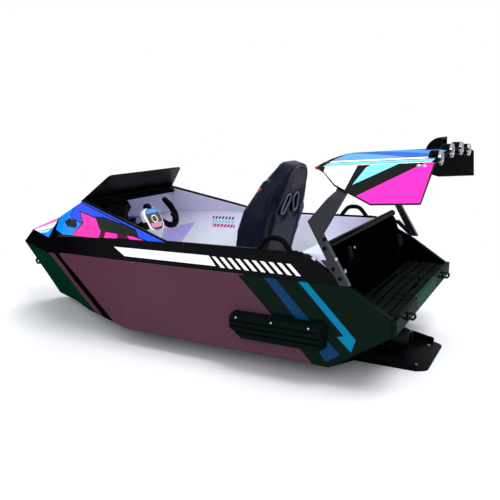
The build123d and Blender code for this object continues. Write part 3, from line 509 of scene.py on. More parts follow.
LOOKS = {
    "hull_paint": hull_look(),
    "band_black": band_look(),
    "cowl_print": cowl_look(),
    "nose_print": nose_look(),
    "wing_print": wing_side_look(),
    "wing_top": wing_top_look(),
    "cockpit_lilac": lilac_look(),
    "well_black": well_look(),
    "display": display_look(),
    "lens_glass": lens_look(),
    "lamp_inside": reflector_look(),
}

# Plain finishes: name, kind, colour and what that kind takes after the colour
for name, kind, code, *settings in (
        ("seat_leather", leather, "090d1f", 0.08),
        ("seat_accent", leather, "a33a3a"),
        ("piping", leather, "23253a", 0.3),
        ("screen_black", gloss, "040405", 0.3, 0.0, 0.05),
        ("frame_black", gloss, "05060a", 0.38, 0.0, 0.03),
        ("strut_black", gloss, "0a101c", 0.34, 0.0, 0.4),
        ("hub_white", gloss, "f4f4f6", 0.32, 0.2),
        ("sponson_black", moulded, "050e0c"),
        ("moulded_black", moulded, "060608"),
        ("rubber", moulded, "040405", 0.5, 2200, 0.04),
        ("bead", moulded, "5a3d4a", 0.4, 900),
        ("cap_white", moulded, "e2e4e8", 0.35, 900),
        ("grey_trim", moulded, "6d7083", 0.4),
        ("engine_iron", metal, "3a3a3e", 0.45),
        ("dark_steel", metal, "26282c", 0.4),
        ("lamp_chrome", metal, "a4a6ac", 0.2, (1, 1, 1)),
        ("steel", metal, "b4b6ba", 0.27),
        ("jet_alloy", metal, "1c1d21", 0.45, (1, 1, 1)),
        ("impeller_steel", metal, "a8aab0", 0.24)):
    LOOKS[name] = kind(Look(name), rgb(code), *settings)


def crease(bm):
    """Smooth shading, with the edges sharper than CREASE_ANGLE kept crisp."""
    for face in bm.faces:
        face.smooth = True
    for edge in bm.edges:
        edge.smooth = not (len(edge.link_faces) == 2 and edge.calc_face_angle(0) > CREASE_ANGLE)


def linked(name, data):
    """New object in the scene."""
    obj = bpy.data.objects.new(name, data)
    SCENE.collection.objects.link(obj)
    return obj


def placed(mesh, name, look, body):
    obj = linked(name, mesh)
    mesh.materials.clear()
    mesh.materials.append(LOOKS[look].material)
    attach(obj, body)
    return obj


def node_copy(node):
    """Merged copy of a CAD node's mesh, its flat faces made whole."""
    bm = bmesh.new()
    bm.from_mesh(NODES[node].data)
    bmesh.ops.remove_doubles(bm, verts=bm.verts, dist=0.00002)
    bmesh.ops.dissolve_limit(bm, angle_limit=0.01, verts=bm.verts, edges=bm.edges, delimit={"NORMAL"})
    return bm


def softened(node, look, width=0.003, segments=2, others=(), rule=None):
    """A CAD node with its edges rounded. A rule may number each face's look, from 0 for the first."""
    bm = node_copy(node)
    crease(bm)
    mesh = bpy.data.meshes.new(node + "_skin")
    bm.to_mesh(mesh)
    bm.free()
    obj = placed(mesh, node + "_skin", look, NODES[node]["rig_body"])
    for other in others:
        mesh.materials.append(LOOKS[other].material)
    for polygon in mesh.polygons if rule else ():
        polygon.material_index = int(rule(polygon.normal))
    rounding = obj.modifiers.new("rounding", "BEVEL")
    rounding.width = width
    rounding.segments = segments
    rounding.limit_method = "ANGLE"
    rounding.angle_limit = BEVEL_ANGLE
    rounding.use_clamp_overlap = True
    rounding.harden_normals = True
    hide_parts(node)


class Shape:
    """Gathers solids in one mesh."""

    def __init__(self):
        self.bm = bmesh.new()

    def loop(self, points):
        """Closed ring of edges through the points."""
        verts = [self.bm.verts.new(p) for p in points]
        return [self.bm.edges.new(pair) for pair in zip(verts, verts[1:] + verts[:1])]

    def bridged(self, loops, closed=False):
        """Skin from each ring of edges to the next, closed to the first one or with its ends filled."""
        for one, two in zip(loops, loops[1:] + (loops[:1] if closed else [])):
            bmesh.ops.bridge_loops(self.bm, edges=one + two)
        if not closed:
            for end in (loops[0], loops[-1]):
                bmesh.ops.edgeloop_fill(self.bm, edges=end)

    def rings(self, rings, closed=False):
        self.bridged([self.loop(ring) for ring in rings], closed)

    def tube(self, points, radius, sides=12, closed=False):
        """Round bar along the points. The radius may be a function of the share of the way."""
        count = len(points)
        loops = []
        across = None
        for i, point in enumerate(points):
            if closed:
                ahead = (points[(i + 1) % count] - points[i - 1]).normalized()
            else:
                ahead = (points[min(i + 1, count - 1)] - points[max(i - 1, 0)]).normalized()
            if across is None:
                across = ahead.orthogonal().normalized()
            across = (across - ahead * across.dot(ahead)).normalized()
            turned = Matrix((across, ahead.cross(across), ahead)).transposed().to_4x4()
            size = radius(i / (count - 1)) if callable(radius) else radius
            made = bmesh.ops.create_circle(self.bm, cap_ends=False, radius=size, segments=sides,
                                           matrix=Matrix.Translation(point) @ turned)
            loops.append(list({edge for vert in made["verts"] for edge in vert.link_edges}))
        self.bridged(loops, closed)

    def lathe(self, profile, place=Matrix(), sides=32):
        """Spins (radius, height) points round the place's Z axis, closed on the axis at both ends."""
        points = [(0, profile[0][1]), *profile, (0, profile[-1][1])]
        verts = [self.bm.verts.new(place @ Vector((radius, 0, height))) for radius, height in points]
        edges = [self.bm.edges.new(pair) for pair in zip(verts, verts[1:])]
        bmesh.ops.spin(self.bm, geom=verts + edges, cent=place.translation, dvec=(0, 0, 0),
                       axis=place.to_3x3() @ UP, angle=tau, steps=sides, use_merge=True)

    def block(self, size, place=Matrix(), edge=0.0, segments=2):
        made = bmesh.ops.create_cube(self.bm, size=1.0, matrix=place @ Matrix.Diagonal((*size, 1)))
        if edge:
            edges = list({e for v in made["verts"] for e in v.link_edges})
            bmesh.ops.bevel(self.bm, geom=edges, offset=edge, offset_type="OFFSET", segments=segments,
                            profile=0.5, affect="EDGES", material=-1, clamp_overlap=True)

    def bolt(self, point, direction, radius=0.006, height=0.004):
        """Washer and domed hexagon head standing off a surface."""
        place = facing(point, direction)
        washer = [(radius * 1.5, -0.001), (radius * 1.5, height * 0.25), (radius * 1.3, height * 0.35)]
        self.lathe(washer, place, 20)
        self.lathe([(radius, 0), (radius, height * 0.8), (radius * 0.8, height)], place, 6)

    def button(self, point, direction, radius, height):
        """Low dome on a rim."""
        dome = [(radius, -0.001), (radius, height * 0.4), (radius * 0.86, height * 0.75),
                (radius * 0.5, height)]
        self.lathe(dome, facing(point, direction), 28)

    def rib(self, place, inner, outer, foot, crest, sides, level=0.0):
        """Raised band round the place's Z axis."""
        steps = (inner, -foot), (outer, -crest), (outer, crest), (inner, foot)
        self.lathe([(radius, level + height) for radius, height in steps], place, sides)

    def done(self, name, look, body="hull"):
        """The gathered solids as one piece."""
        bmesh.ops.remove_doubles(self.bm, verts=self.bm.verts, dist=0.000002)
        bmesh.ops.recalc_face_normals(self.bm, faces=self.bm.faces)
        crease(self.bm)
        mesh = bpy.data.meshes.new(name)
        self.bm.to_mesh(mesh)
        self.bm.free()
        return placed(mesh, name, look, body)


def facing(point, direction):
    """Location at a point with Z along a direction."""
    z = Vector(direction).normalized()
    side = UP.cross(z)
    side = (side if side.length > 0.01 else Vector((0, 1, 0)).cross(z)).normalized()
    turned = Matrix((side, z.cross(side), z)).transposed().to_4x4()
    return Matrix.Translation(point) @ turned


def curve(points, count=24):
    """Smooth line that passes through the points."""
    points = [Vector(p) for p in points]
    steps = max(2, count // (len(points) - 1))
    held = [points[0], *points, points[-1]]
    line = []
    for a, b, c, d in zip(held, held[1:], held[2:], held[3:]):
        for k in range(steps):
            t = k / steps
            line.append(0.5 * (2 * b + (c - a) * t + (2 * a - 5 * b + 4 * c - d) * t * t
                               + (3 * b - a - 3 * c + d) * t ** 3))
    return line + [points[-1]]


def along_line(line, k):
    """Location at the line's k-th point with Z along it."""
    return facing(line[k], line[k + 1] - line[k - 1])


# Bodywork: the CAD pieces with rounded edges
for name in ("bow_block", "hull_bottom", "counter_panel", "transom"):
    softened(name, "hull_paint", 0.004)
for side, sign in SIDES:
    softened(f"side_panel_{side}", "hull_paint", 0.004,
             others=("well_black",), rule=lambda normal, s=sign: normal.y * s < -0.3)
for name in ("band_port", "band_starboard", "coaming_roll", "dash_beam"):
    softened(name, "band_black", 0.004)
for name in ("well_floor", "hatch_lid", "aft_bulkhead"):
    softened(name, "well_black", 0.002)
for name in ("cockpit_floor", "liner_port", "liner_starboard", "engine_deck", "engine_riser"):
    softened(name, "cockpit_lilac", 0.004)
for name in ("cowl_top", "nose_deck"):
    softened(name, "nose_print", 0.003, others=("rubber",), rule=lambda normal: normal.z < -0.1)
for side, sign in SIDES:
    softened(f"cowl_{side}", "cowl_print", 0.004,
             others=("cockpit_lilac", "rubber"),
             rule=lambda normal, s=sign: 2 if normal.z > 0.9 else normal.y * s < -0.3)
    softened(f"wing_side_{side}", "wing_print", 0.0025,
             others=("moulded_black",), rule=lambda normal, s=sign: normal.y * s < 0.3)
softened("wing_top", "wing_top", 0.003)
softened("windscreen", "screen_black", 0.0025)
softened("struts", "strut_black", 0.005, 3)
softened("seat_rails", "frame_black", 0.002)
softened("steering_column", "frame_black", 0.002)
softened("ride_plate", "frame_black", 0.0025)
softened("engine_block", "engine_iron", 0.006)
softened("sponsons", "sponson_black", 0.004, 3)
for name in ("steering_console", "pedals", "scoop"):
    softened(name, "moulded_black", 0.004, 3)
softened("tow_eyes", "dark_steel", 0.0025, 3)
softened("intake_grate", "steel", 0.0015)
softened("pump_housing", "jet_alloy", 0.0015)
softened("nozzle", "jet_alloy", 0.0015)
softened("impeller", "impeller_steel", 0.0007)
softened("hub", "hub_white", 0.004, 3)

# Seat pads. In the back's own place X runs forward from its rear face and Z up along it
SEAT_TILT = radians(17.5)
SEAT = Matrix.Translation(at(0.930, 0, 0.1763)) @ Matrix.Rotation(-SEAT_TILT, 4, "Y")
REAR = -(SEAT.to_3x3() @ Vector((1, 0, 0)))
PAD_VOXEL, PAD_SWELL, PAD_PRESSURE, PAD_FRAMES = 0.0065, 0.008, 4, 20
SHOULDER_REAR, LAID_REACH = 0.02, 0.3


def in_seat(across, height, out=0.0):
    """Point on the seat back: across, up along it and forward of its rear face."""
    return SEAT @ Vector((out, across, height))


def joined(name, nodes, fillers):
    """One mesh of the CAD blocks and the fillers."""
    whole = bmesh.new()
    mesh = bpy.data.meshes.new(name)
    for part in [node_copy(node) for node in nodes] + [filler.bm for filler in fillers]:
        part.to_mesh(mesh)
        part.free()
        whole.from_mesh(mesh)
    whole.to_mesh(mesh)
    whole.free()
    return mesh


def baked(obj):
    """Mesh of the object with its modifiers, which are then taken off."""
    graph = bpy.context.evaluated_depsgraph_get()
    mesh = bpy.data.meshes.new_from_object(obj.evaluated_get(graph))
    obj.modifiers.clear()
    obj.data = mesh
    return mesh


def blow(obj):
    """Blows the pad up under cloth pressure. No vertex moves further than PAD_SWELL."""
    rest = [v.co.copy() for v in obj.data.vertices]
    cloth = obj.modifiers.new("cloth", "CLOTH")
    cloth.settings.use_pressure = True
    cloth.settings.uniform_pressure_force = PAD_PRESSURE
    cloth.settings.effector_weights.gravity = 0
    cloth.settings.quality = 3
    cloth.point_cache.frame_start = 1
    cloth.point_cache.frame_end = PAD_FRAMES
    for step in range(1, PAD_FRAMES + 1):
        SCENE.frame_set(step)
        bpy.context.evaluated_depsgraph_get()
    for vertex, start in zip(baked(obj).vertices, rest):
        move = vertex.co - start
        if move.length > PAD_SWELL:
            vertex.co = start + move * (PAD_SWELL / move.length)
    SCENE.frame_set(1)


def pad(name, *nodes, rounds=14, fillers=()):
    """A stuffed pad: the CAD blocks, evenly meshed as one, their corners eased, then blown up a little."""
    obj = linked(name, joined(name, nodes, fillers))
    remesh = obj.modifiers.new("even", "REMESH")
    remesh.mode = "VOXEL"
    remesh.voxel_size = PAD_VOXEL
    ease = obj.modifiers.new("ease", "SMOOTH")
    ease.factor = 0.6
    ease.iterations = rounds
    baked(obj)
    blow(obj)
    obj.data.materials.clear()
    obj.data.materials.append(LOOKS["seat_leather"].material)
    for polygon in obj.data.polygons:
        polygon.use_smooth = True
    finer = obj.modifiers.new("finer", "SUBSURF")
    finer.levels = 1
    finer.render_levels = 1
    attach(obj, "hull")
    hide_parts(*nodes)
    return obj


def surface(bm):
    """Search tree over a mesh, which is let go."""
    tree = BVHTree.FromBMesh(bm)
    bm.free()
    return tree


def surface_of(obj):
    bm = bmesh.new()
    bm.from_mesh(obj.data)
    return surface(bm)


def laid(points, tree, direction, lift=0.0):
    """The points, moved back along a direction until they lie on the surface."""
    line = []
    for point in points:
        hit = tree.ray_cast(point + direction * LAID_REACH, -direction, 2 * LAID_REACH)[0]
        line.append((point if hit is None else hit) + direction * lift)
    return line


def shoulder(sign):
    """Wedge that fills the step between the back and its bolster."""
    wedge = Shape()
    rings = []
    for height, near, far, depth in ((0.62, 0.10, 0.196, 0.135), (0.72, 0.09, 0.166, 0.112),
                                     (0.805, 0.07, 0.108, 0.082)):
        corners = ((near, SHOULDER_REAR), (near, depth), (far, depth), (far, SHOULDER_REAR))
        rings.append([in_seat(sign * across, height, out) for across, out in corners])
    wedge.rings(rings)
    bmesh.ops.recalc_face_normals(wedge.bm, faces=wedge.bm.faces)
    return wedge


wedges = (shoulder(-1), shoulder(1))
back = pad("seat_back_pad", "seat_back", "seat_back_bolsters", rounds=24, fillers=wedges)
cushion = pad("seat_cushion_pad", "seat_cushion")
pad("seat_rolls_pad", "seat_base_bolsters")
back_skin = surface_of(back)
cushion_skin = surface_of(cushion)


def both_halves(points):
    """The points, then their mirror images across the middle, on which the last one lies."""
    return points + [(-across, along) for across, along in reversed(points[:-1])]


# Slot trims on both faces of the back, with a funnel from each down to the slot
SLOT_HEIGHT, SLOT_ACROSS, SLOT_HALF, SLOT_LEAN, SLOT_SIDES = 0.610, 0.062, 0.033, 24, 40
# Radii at a slot's top and foot: of its mouth, its throat and the funnel's outside
MOUTH, THROAT, LINING = (0.0300, 0.0215), (0.0225, 0.0195), (0.0330, 0.0245)


def slot_outline(sign, level, radii):
    """Ring round a slot with its own radius at each end."""
    turn = radians(90 + sign * SLOT_LEAN)
    ring = []
    for k in range(SLOT_SIDES):
        a = tau * k / SLOT_SIDES
        radius = radii[0] if cos(a) > 0 else radii[1]
        u = copysign(SLOT_HALF, cos(a)) + radius * cos(a)
        v = radius * sin(a)
        ring.append(in_seat(sign * SLOT_ACROSS + u * cos(turn) - v * sin(turn),
                            SLOT_HEIGHT + u * sin(turn) + v * cos(turn), level))
    return ring


trims = Shape()
funnels = Shape()
for sign in (-1, 1):
    for level in (-0.0025, 0.0865):
        trims.tube(slot_outline(sign, level, MOUTH), 0.0048, 10, closed=True)
    steps = ((-0.002, MOUTH), (0.012, THROAT), (0.072, THROAT), (0.086, MOUTH), (0.086, LINING),
             (-0.002, LINING))
    funnels.rings([slot_outline(sign, level, radii) for level, radii in steps], closed=True)
trims.done("seat_slot_trims", "grey_trim")
funnels.done("seat_slot_funnels", "moulded_black")

# Piping and seams lie on the padded surface
PIPING_R, SEAM_R, CUSHION_Z = 0.0035, 0.0016, 0.27
piping = Shape()
rear_edge = [(0.146, 0.03), (0.150, 0.30), (0.150, 0.56), (0.143, 0.64), (0.120, 0.72), (0.104, 0.775),
             (0.064, 0.812), (0, 0.820)]
front_edge = [(0.135, 0.16), (0.140, 0.36), (0.138, 0.55), (0.118, 0.66), (0.100, 0.74), (0.060, 0.792),
              (0, 0.800)]
for outline, direction in ((rear_edge, REAR), (front_edge, -REAR)):
    line = curve([in_seat(across, height) for across, height in both_halves(outline)], 140)
    piping.tube(laid(line, back_skin, direction, 0.0005), PIPING_R, 8)
cushion_edge = [(0.148, 1.03), (0.150, 1.25), (0.135, 1.372), (0, 1.375)]
line = curve([at(x, y, CUSHION_Z) for y, x in both_halves(cushion_edge)], 120)
piping.tube(laid(line, cushion_skin, UP, 0.0005), PIPING_R, 8)
piping.done("seat_piping", "piping")

seams = Shape()
for height in (0.20, 0.27, 0.34, 0.41, 0.48):
    row = curve([in_seat(-0.13, height), in_seat(0, height - 0.012), in_seat(0.13, height)], 40)
    seams.tube(laid(row, back_skin, -REAR), SEAM_R, 6)
for height in (0.10, 0.72):
    row = curve([in_seat(-0.11, height), in_seat(0, height + 0.004), in_seat(0.11, height)], 40)
    seams.tube(laid(row, back_skin, REAR), SEAM_R, 6)
for x in (1.10, 1.17, 1.24, 1.31):
    row = curve([at(x, -0.14, CUSHION_Z), at(x + 0.01, 0, CUSHION_Z), at(x, 0.14, CUSHION_Z)], 40)
    seams.tube(laid(row, cushion_skin, UP), SEAM_R, 6)
seams.done("seat_seams", "piping")

# Red panels at the shoulders, sewn on the front of the seat's wings
patch = Shape()
for sign in (-1, 1):
    grid = bmesh.ops.create_grid(patch.bm, x_segments=6, y_segments=8, size=0.5)
    spots = []
    for vert in grid["verts"]:
        outwards, upwards = vert.co.x + 0.5, vert.co.y + 0.5
        across = 0.182 + 0.040 * outwards * (1 - 0.5 * upwards)
        spots.append(in_seat(sign * across, 0.60 + 0.085 * upwards))
    for vert, point in zip(grid["verts"], laid(spots, back_skin, -REAR, 0.0012)):
        vert.co = point
bmesh.ops.recalc_face_normals(patch.bm, faces=patch.bm.faces)
bmesh.ops.solidify(patch.bm, geom=patch.bm.faces, thickness=0.002)
patch.done("seat_shoulder_panels", "seat_accent")

# Steering: in the wheel's own place X runs to starboard, Y up the face and Z towards the driver
STEER = Matrix(((0, LEAN_SIN, -LEAN_COS, HUB.x), (-1, 0, 0, HUB.y), (0, LEAN_COS, LEAN_SIN, HUB.z),
                (0, 0, 0, 1)))
YOKE_LINE = [(0.076, -0.031), (0.100, -0.031), (0.130, -0.056), (0.184, -0.062), (0.222, -0.032),
             (0.236, 0.012), (0.224, 0.066), (0.184, 0.128)]


def grip_size(share):
    """Slim at the hub, full with finger swells along the grip, rounded off at its end."""
    full = 0.0145 + 0.0055 * min(1.0, max(0.0, (share - 0.12) / 0.15))
    swell = 0.0012 * sin(share * 38) if share > 0.4 else 0
    end = sqrt(max(0.0, 1 - (max(0.0, share - 0.95) / 0.05) ** 2))
    return max(0.003, (full + swell) * end)


grips = Shape()
ribs = Shape()
for sign in (-1, 1):
    line = curve([STEER @ Vector((sign * x, y, 0)) for x, y in YOKE_LINE], 84)
    grips.tube(line, grip_size, 20)
    for k in range(40, 72, 3):
        ribs.rib(along_line(line, k), 0.0200, 0.0222, 0.0022, 0.0010, 22)
    thumb = STEER @ Matrix.Translation((sign * 0.196, -0.006, 0.014)) @ Matrix.Rotation(sign * 0.5, 4, "Z")
    ribs.block((0.030, 0.044, 0.018), thumb, 0.006, 3)
yoke = grips.done("yoke_grips", "moulded_black", "steering")
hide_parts("yoke")
ribs.done("yoke_ribs", "rubber", "steering")

FACE_TAPER, FACE_CORNER, FACE_SIDES = 0.16, 3.4, 56


def face_outline(half_width, half_height, level):
    """Rounded shield on the hub's face, a little narrower at its foot."""
    ring = []
    for k in range(FACE_SIDES):
        a = tau * k / FACE_SIDES
        x, y = (copysign(abs(value) ** (2 / FACE_CORNER), value) for value in (cos(a), sin(a)))
        ring.append(STEER @ Vector((half_width * x * (1 - FACE_TAPER * (1 - y) / 2), half_height * y, level)))
    return ring


panel = Shape()
panel.rings([face_outline(0.064, 0.068, 0.015), face_outline(0.064, 0.068, 0.0176),
             face_outline(0.060, 0.064, 0.0182)])
panel.done("hub_display", "display", "steering")
rim = Shape()
rim.tube(face_outline(0.066, 0.070, 0.0172), 0.0024, 8, closed=True)
boss = [(0.028, -0.012), (0.028, 0.004), (0.025, 0.012), (0.018, 0.017), (0.008, 0.019)]
rim.lathe(boss, STEER @ Matrix.Translation((0, 0.083, 0)), 32)
for sign in (-1, 1):
    rim.block((0.030, 0.046, 0.026), STEER @ Matrix.Translation((sign * 0.083, -0.031, 0)), 0.006, 3)
rim.done("hub_trim", "rubber", "steering")

# Faceted housing under the dash beam, to port of the wheel
pod = Shape()
wide = ((0.262, 0.742), (0.060, 0.752), (0.030, 0.700), (0.080, 0.640), (0.235, 0.665))
slim = ((0.245, 0.735), (0.075, 0.742), (0.050, 0.700), (0.095, 0.655), (0.222, 0.676))
steps = ((1.905, wide), (1.880, wide), (1.846, slim))
pod.rings([[at(x, y, z) for y, z in outline] for x, outline in steps])
pod.done("dash_housing", "moulded_black")

# Grab handles, with moulded feet and screws
HANDLE_X, HANDLE_Y, HANDLE_Z = 0.572, 0.535, 0.613
HANDLE_HALF_SPAN, HANDLE_RISE, HANDLE_R = 0.084, 0.062, 0.0118
handles = Shape()
silver = Shape()
dark = Shape()
arch = both_halves([(-1, 0), (-0.74, 0.46), (-0.5, 0.82), (-0.24, 0.98), (0, 1.0)])
for sign in (-1, 1):
    line = [(HANDLE_X + HANDLE_HALF_SPAN * x, HANDLE_Z + HANDLE_RISE * z) for x, z in arch]
    line = curve([at(x, sign * HANDLE_Y, z) for x, z in line], 72)
    handles.tube(line, HANDLE_R, 18)
    for k in range(6, len(line) - 6, 2):
        handles.rib(along_line(line, k), 0.0112, 0.0130, 0.0020, 0.0008, 18)
    for end in (-1, 1):
        foot = at(HANDLE_X + end * 0.0895, sign * HANDLE_Y, HANDLE_Z + 0.0045)
        handles.block((0.052, 0.028, 0.010), Matrix.Translation(foot), 0.004, 3)
        dark.bolt(foot + Vector((end * 0.018, 0, 0.005)), UP, 0.0042, 0.003)
handle = handles.done("grab_handle_loops", "moulded_black")
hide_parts("grab_handles")

# Rubber edging along the coaming, and bead along the knuckle
edging = Shape()
bead = Shape()
coaming = ((1.870, 0.414, 0.781), (1.70, 0.444, 0.739), (1.45, 0.490, 0.677), (1.200, 0.536, 0.613),
           (1.150, 0.540, 0.6115), (0.80, 0.540, 0.6115), (0.43, 0.540, 0.6115))
knuckle_runs = (((0.72, 0.5745), (1.10, 0.5745), (1.498, 0.5745)), ((1.502, 0.5745), (1.95, 0.5620)))
for sign in (-1, 1):
    edging.tube(curve([at(x, sign * y, z) for x, y, z in coaming], 72), 0.0105, 12)
    for run in knuckle_runs:
        bead.tube([at(x, sign * y, 0.4975) for x, y in run], 0.0020, 8)
edging.done("coaming_edging", "rubber")
bead.done("knuckle_bead", "bead")

# Lamps: black ribbed can, polished bezel, reflector bowl, bulb and domed lens
LAMP_COUNT, LAMP_PITCH, LAMP_R, LAMP_LENGTH, LAMP_SIDES = 4, 0.233, 0.030, 0.052, 40
WING_HALF, WING_CROWN, LAMP_SINK = 0.474, 0.036, 0.006
can = [(0.027, 0.007), (LAMP_R - 0.001, 0.009), (LAMP_R - 0.001, LAMP_LENGTH - 0.004), (0.024, LAMP_LENGTH)]
bezel = [(0.0245, 0.005), (0.0250, 0.0012), (0.0275, 0.0002), (0.0302, 0.0016), (0.0306, 0.006),
         (0.0306, 0.012), (0.0285, 0.0125)]
bowl = [(0.0245, 0.004), (0.021, 0.012), (0.012, 0.020), (0.003, 0.022)]
bulb = [(0.005, 0.020), (0.005, 0.012), (0.003, 0.009)]
lens = [(0.0243, 0.0042), (0.0240, 0.0028), (0.019, 0.0010), (0.010, 0.0002), (0.001, 0.0)]
cans = Shape()
chrome = Shape()
bowls = Shape()
lenses = Shape()


def circle(place, radius, height):
    """Ring of points round the place's Z axis."""
    turns = [tau * i / LAMP_SIDES for i in range(LAMP_SIDES)]
    return [place @ Vector((radius * cos(a), radius * sin(a), height)) for a in turns]


for k in range(LAMP_COUNT):
    y = (k - (LAMP_COUNT - 1) / 2) * LAMP_PITCH
    z = wing_point(WING_TAIL, 0)[1] + WING_CROWN * (1 - (y / WING_HALF) ** 2) - LAMP_SINK
    place = facing(at(WING_TAIL, y, z), -AFT)
    cans.lathe(can, place, LAMP_SIDES)
    for level in (0.020, 0.027, 0.034, 0.041):
        cans.rib(place, LAMP_R - 0.002, LAMP_R, 0.002, 0.001, LAMP_SIDES, level)
    chrome.rings([circle(place, radius, height) for radius, height in bezel], closed=True)
    bowls.lathe(bowl, place, LAMP_SIDES)
    bowls.lathe(bulb, place, 16)
    lenses.lathe(lens, place, LAMP_SIDES)
lamp = cans.done("lamp_cans", "moulded_black")
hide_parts("lamps")
chrome.done("lamp_bezels", "lamp_chrome")
bowls.done("lamp_reflectors", "lamp_inside")
lenses.done("lamp_lenses", "lens_glass")

# Bolts: steel on the sponsons, wing plates and ride plate, black on the struts and the screen's foot
SPONSON_FACE, STRUT_FACE, WING_EDGE, WING_CANT = 0.6003, 0.6055, 0.4745, 1.13
for sign in (-1, 1):
    for x in (0.753, 0.565, 0.379):
        silver.bolt(at(x, sign * SPONSON_FACE, 0.292), (0, sign, 0), 0.0055, 0.004)
    dark.button(at(0.330, sign * SPONSON_FACE, 0.270), (0, sign, 0), 0.013, 0.008)
    for x, z in ((0.232, 0.535), (0.262, 0.575), (0.300, 0.66), (0.300, 0.70)):
        dark.bolt(at(x, sign * STRUT_FACE, z), (0, sign, 0), 0.006, 0.004)
    for x, drop in ((-0.072, 0.012), (-0.050, 0.010)):
        px, pz = wing_point(x, drop)
        silver.bolt(at(px, sign * (WING_EDGE + WING_CANT * drop), pz), (0, sign * 0.66, 0.75), 0.0055, 0.003)
    for x, y in ((0.015, 0.138), (0.130, 0.150), (0.250, 0.150)):
        silver.bolt(at(x, sign * y, 0.008), UP, 0.0065, 0.004)
SCREEN_RISE = Vector((-0.153, 0, 0.141)).normalized()
SCREEN_OUT = Vector((0.141, 0, 0.153)).normalized()
seal = Shape()
seal.tube([at(1.881, y, 0.781) for y in (-0.424, -0.2, 0, 0.2, 0.424)], 0.009, 12)
seal.done("screen_seal", "rubber")
for k in range(7):
    foot = at(1.879, (k - 3) * 0.125, 0.783) + SCREEN_RISE * 0.016 + SCREEN_OUT * 0.008
    dark.bolt(foot, SCREEN_OUT, 0.005, 0.003)

# Well fittings: a louvred vent, round caps and a junction box on the bulkhead, and a cap on each band
BULKHEAD_X, BULKHEAD_SLOPE = 0.245, 0.246
BULKHEAD_OUT = Vector((-1, 0, BULKHEAD_SLOPE)).normalized()


def on_bulkhead(y, z):
    return at(BULKHEAD_X + BULKHEAD_SLOPE * (z - WELL_Z), y, z)


fittings = Shape()
vent = facing(on_bulkhead(0.308, 0.578), BULKHEAD_OUT)
fittings.block((0.052, 0.064, 0.010), vent @ Matrix.Translation((0, 0, 0.004)), 0.003)
for k in range(5):
    slat = Matrix.Translation((0, (k - 2) * 0.0115, 0.011)) @ Matrix.Rotation(radians(28), 4, "X")
    fittings.block((0.042, 0.009, 0.003), vent @ slat, 0.001)
fittings.done("well_vent", "frame_black")
box = Shape()
place = facing(on_bulkhead(-0.40, 0.500), BULKHEAD_OUT)
box.block((0.090, 0.070, 0.034), place @ Matrix.Translation((0, 0, 0.0165)), 0.005, 3)
box.block((0.082, 0.062, 0.006), place @ Matrix.Translation((0, 0, 0.0355)), 0.002)
for x, y in ((-1, -1), (-1, 1), (1, -1), (1, 1)):
    box.bolt(place @ Vector((x * 0.034, y * 0.024, 0.0385)), BULKHEAD_OUT, 0.003, 0.002)
lead = ((-0.02, -0.035, 0.016), (-0.02, -0.050, 0.016), (-0.03, -0.075, 0.008), (-0.03, -0.100, 0.0))
box.tube(curve([place @ Vector(p) for p in lead], 24), 0.006, 12)
box.done("well_junction_box", "moulded_black")
caps = Shape()
caps.button(on_bulkhead(0.399, 0.515), BULKHEAD_OUT, 0.0095, 0.005)
caps.button(on_bulkhead(0.222, 0.590), BULKHEAD_OUT, 0.0060, 0.004)
for sign in (-1, 1):
    caps.button(at(0.377, sign * 0.5455, 0.594), (0, sign * 0.957, 0.29), 0.0105, 0.004)
silver.bolt(at(0.247, STRUT_FACE, 0.619), (0, 1, 0), 0.0045, 0.003)
caps.done("round_caps", "cap_white")

# Hatch turn-latches, pedal treads and flange bolts of the pump
latches = Shape()
HATCH_GAP, HATCH_RISE = 0.0003, 0.006
lid_top = WELL_Z + HATCH_GAP + HATCH_RISE
for sign in (-1, 1):
    spot = at(0.078, sign * 0.165, lid_top)
    latches.lathe([(0.015, -0.0005), (0.015, 0.002), (0.013, 0.003)], Matrix.Translation(spot), 28)
    latches.block((0.022, 0.006, 0.006), Matrix.Translation(spot + Vector((0, 0, 0.005))), 0.002, 3)
latches.done("hatch_latches", "moulded_black", "hatch")

treads = Shape()
pedal_skin = surface(node_copy("pedals"))
low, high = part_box("pedals")
for sign in (-1, 1):
    for k in range(6):
        z = low[2] + (high[2] - low[2]) * (0.30 + 0.11 * k)
        row = [Vector((low[0], sign * (0.118 + 0.006 * i), z)) for i in range(-6, 7)]
        treads.tube(laid(row, pedal_skin, AFT), 0.0028, 8)
treads.done("pedal_treads", "rubber")
PUMP_Z, FLANGE_R = 0.080, 0.0655
for x in (0.200, 0.292):
    for k in range(8):
        a = tau * (k + 0.5) / 8
        side = Vector((0, cos(a), sin(a)))
        # None where the saddle meets the pump
        if abs(side.z + 0.92) > 0.12:
            silver.bolt(at(x, 0, PUMP_Z) + side * FLANGE_R, side, 0.0042, 0.003)
silver.done("steel_bolts", "steel")
dark.done("black_bolts", "rubber")

# Floor and studio
floor_shape = bmesh.new()
bmesh.ops.create_grid(floor_shape, x_segments=1, y_segments=1, size=14.0)
floor_mesh = bpy.data.meshes.new("studio_floor")
floor_shape.to_mesh(floor_mesh)
floor_shape.free()
floor = linked("studio_floor", floor_mesh)


def seen_by_eye(nodes):
    """1 for rays that show the background: from the camera, off gloss and through glass."""
    camera, glossy, glass = [nodes.node("LightPath", {}, {}, f"Is {kind} Ray")
                             for kind in ("Camera", "Glossy", "Transmission")]
    return camera | glossy | glass


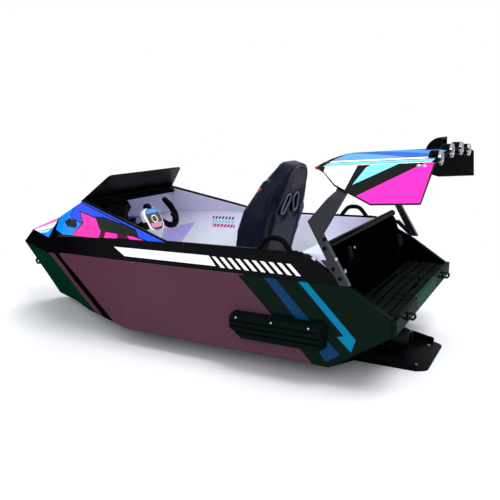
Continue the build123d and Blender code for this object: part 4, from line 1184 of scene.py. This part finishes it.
ground = Look("studio_floor")
reach = (ground.x - MID) * (ground.x - MID) * 0.45 + ground.y * ground.y
fade = ground.ranged(reach, 1.6, 5.0) * seen_by_eye(ground)
matt = ground.node("BsdfPrincipled", {}, {"Base Color": (0.94, 0.94, 0.95, 1), "Specular IOR Level": 0.2,
                                          "Roughness": ground.uneven(0.6, 0.7, 2)})
bright = ground.node("Emission", {}, {"Color": (1, 1, 1, 1), "Strength": 1.0})
ground.node("OutputMaterial", {}, {"Surface": ground.node("MixShader", {}, {0: fade, 1: matt, 2: bright})})
floor_mesh.materials.append(ground.material)
floor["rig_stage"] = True

world = bpy.data.worlds.new("studio")
SCENE.world = world
world.use_nodes = True
air = Nodes(world.node_tree)
soft = air.node("Background", {}, {"Color": (0.90, 0.93, 1.0, 1), "Strength": 0.75})
white = air.node("Background", {}, {"Color": (1, 1, 1, 1), "Strength": 1.0})
air.node("OutputWorld", {}, {"Surface": air.node("MixShader", {}, {0: seen_by_eye(air), 1: soft, 2: white})})

LIGHT_TARGET = Vector((0, 0, 0.4))
for label, spot, power, size in (("key", (-3.0, 1.0, 5.5), 230, 3.0), ("fill", (-1.0, 6.0, 3.2), 105, 4.0),
                                 ("rim", (3.5, -4.0, 4.0), 160, 2.5)):
    light = bpy.data.lights.new(label, "AREA")
    light.energy = power
    light.size = size
    linked(label, light).matrix_world = facing(Vector(spot), Vector(spot) - LIGHT_TARGET)

# Camera where the photo was taken from
yaw, pitch, roll = (radians(a) for a in (-59.92, -12.17, -1.92))
ahead = Vector((cos(pitch) * cos(yaw), cos(pitch) * sin(yaw), sin(pitch)))
level = ahead.cross(UP).normalized()
over = level.cross(ahead)
right = level * cos(roll) + over * sin(roll)
up = over * cos(roll) - level * sin(roll)
camera = linked("camera", bpy.data.cameras.new("camera"))
turned = Matrix((right, up, -ahead)).transposed().to_4x4()
camera.matrix_world = Matrix.Translation((-2.001, 2.742, 1.159)) @ turned
camera.data.lens = 40.2
camera.data.sensor_width = 36
SCENE.camera = camera
SCENE.view_settings.view_transform = "Standard"

low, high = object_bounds()
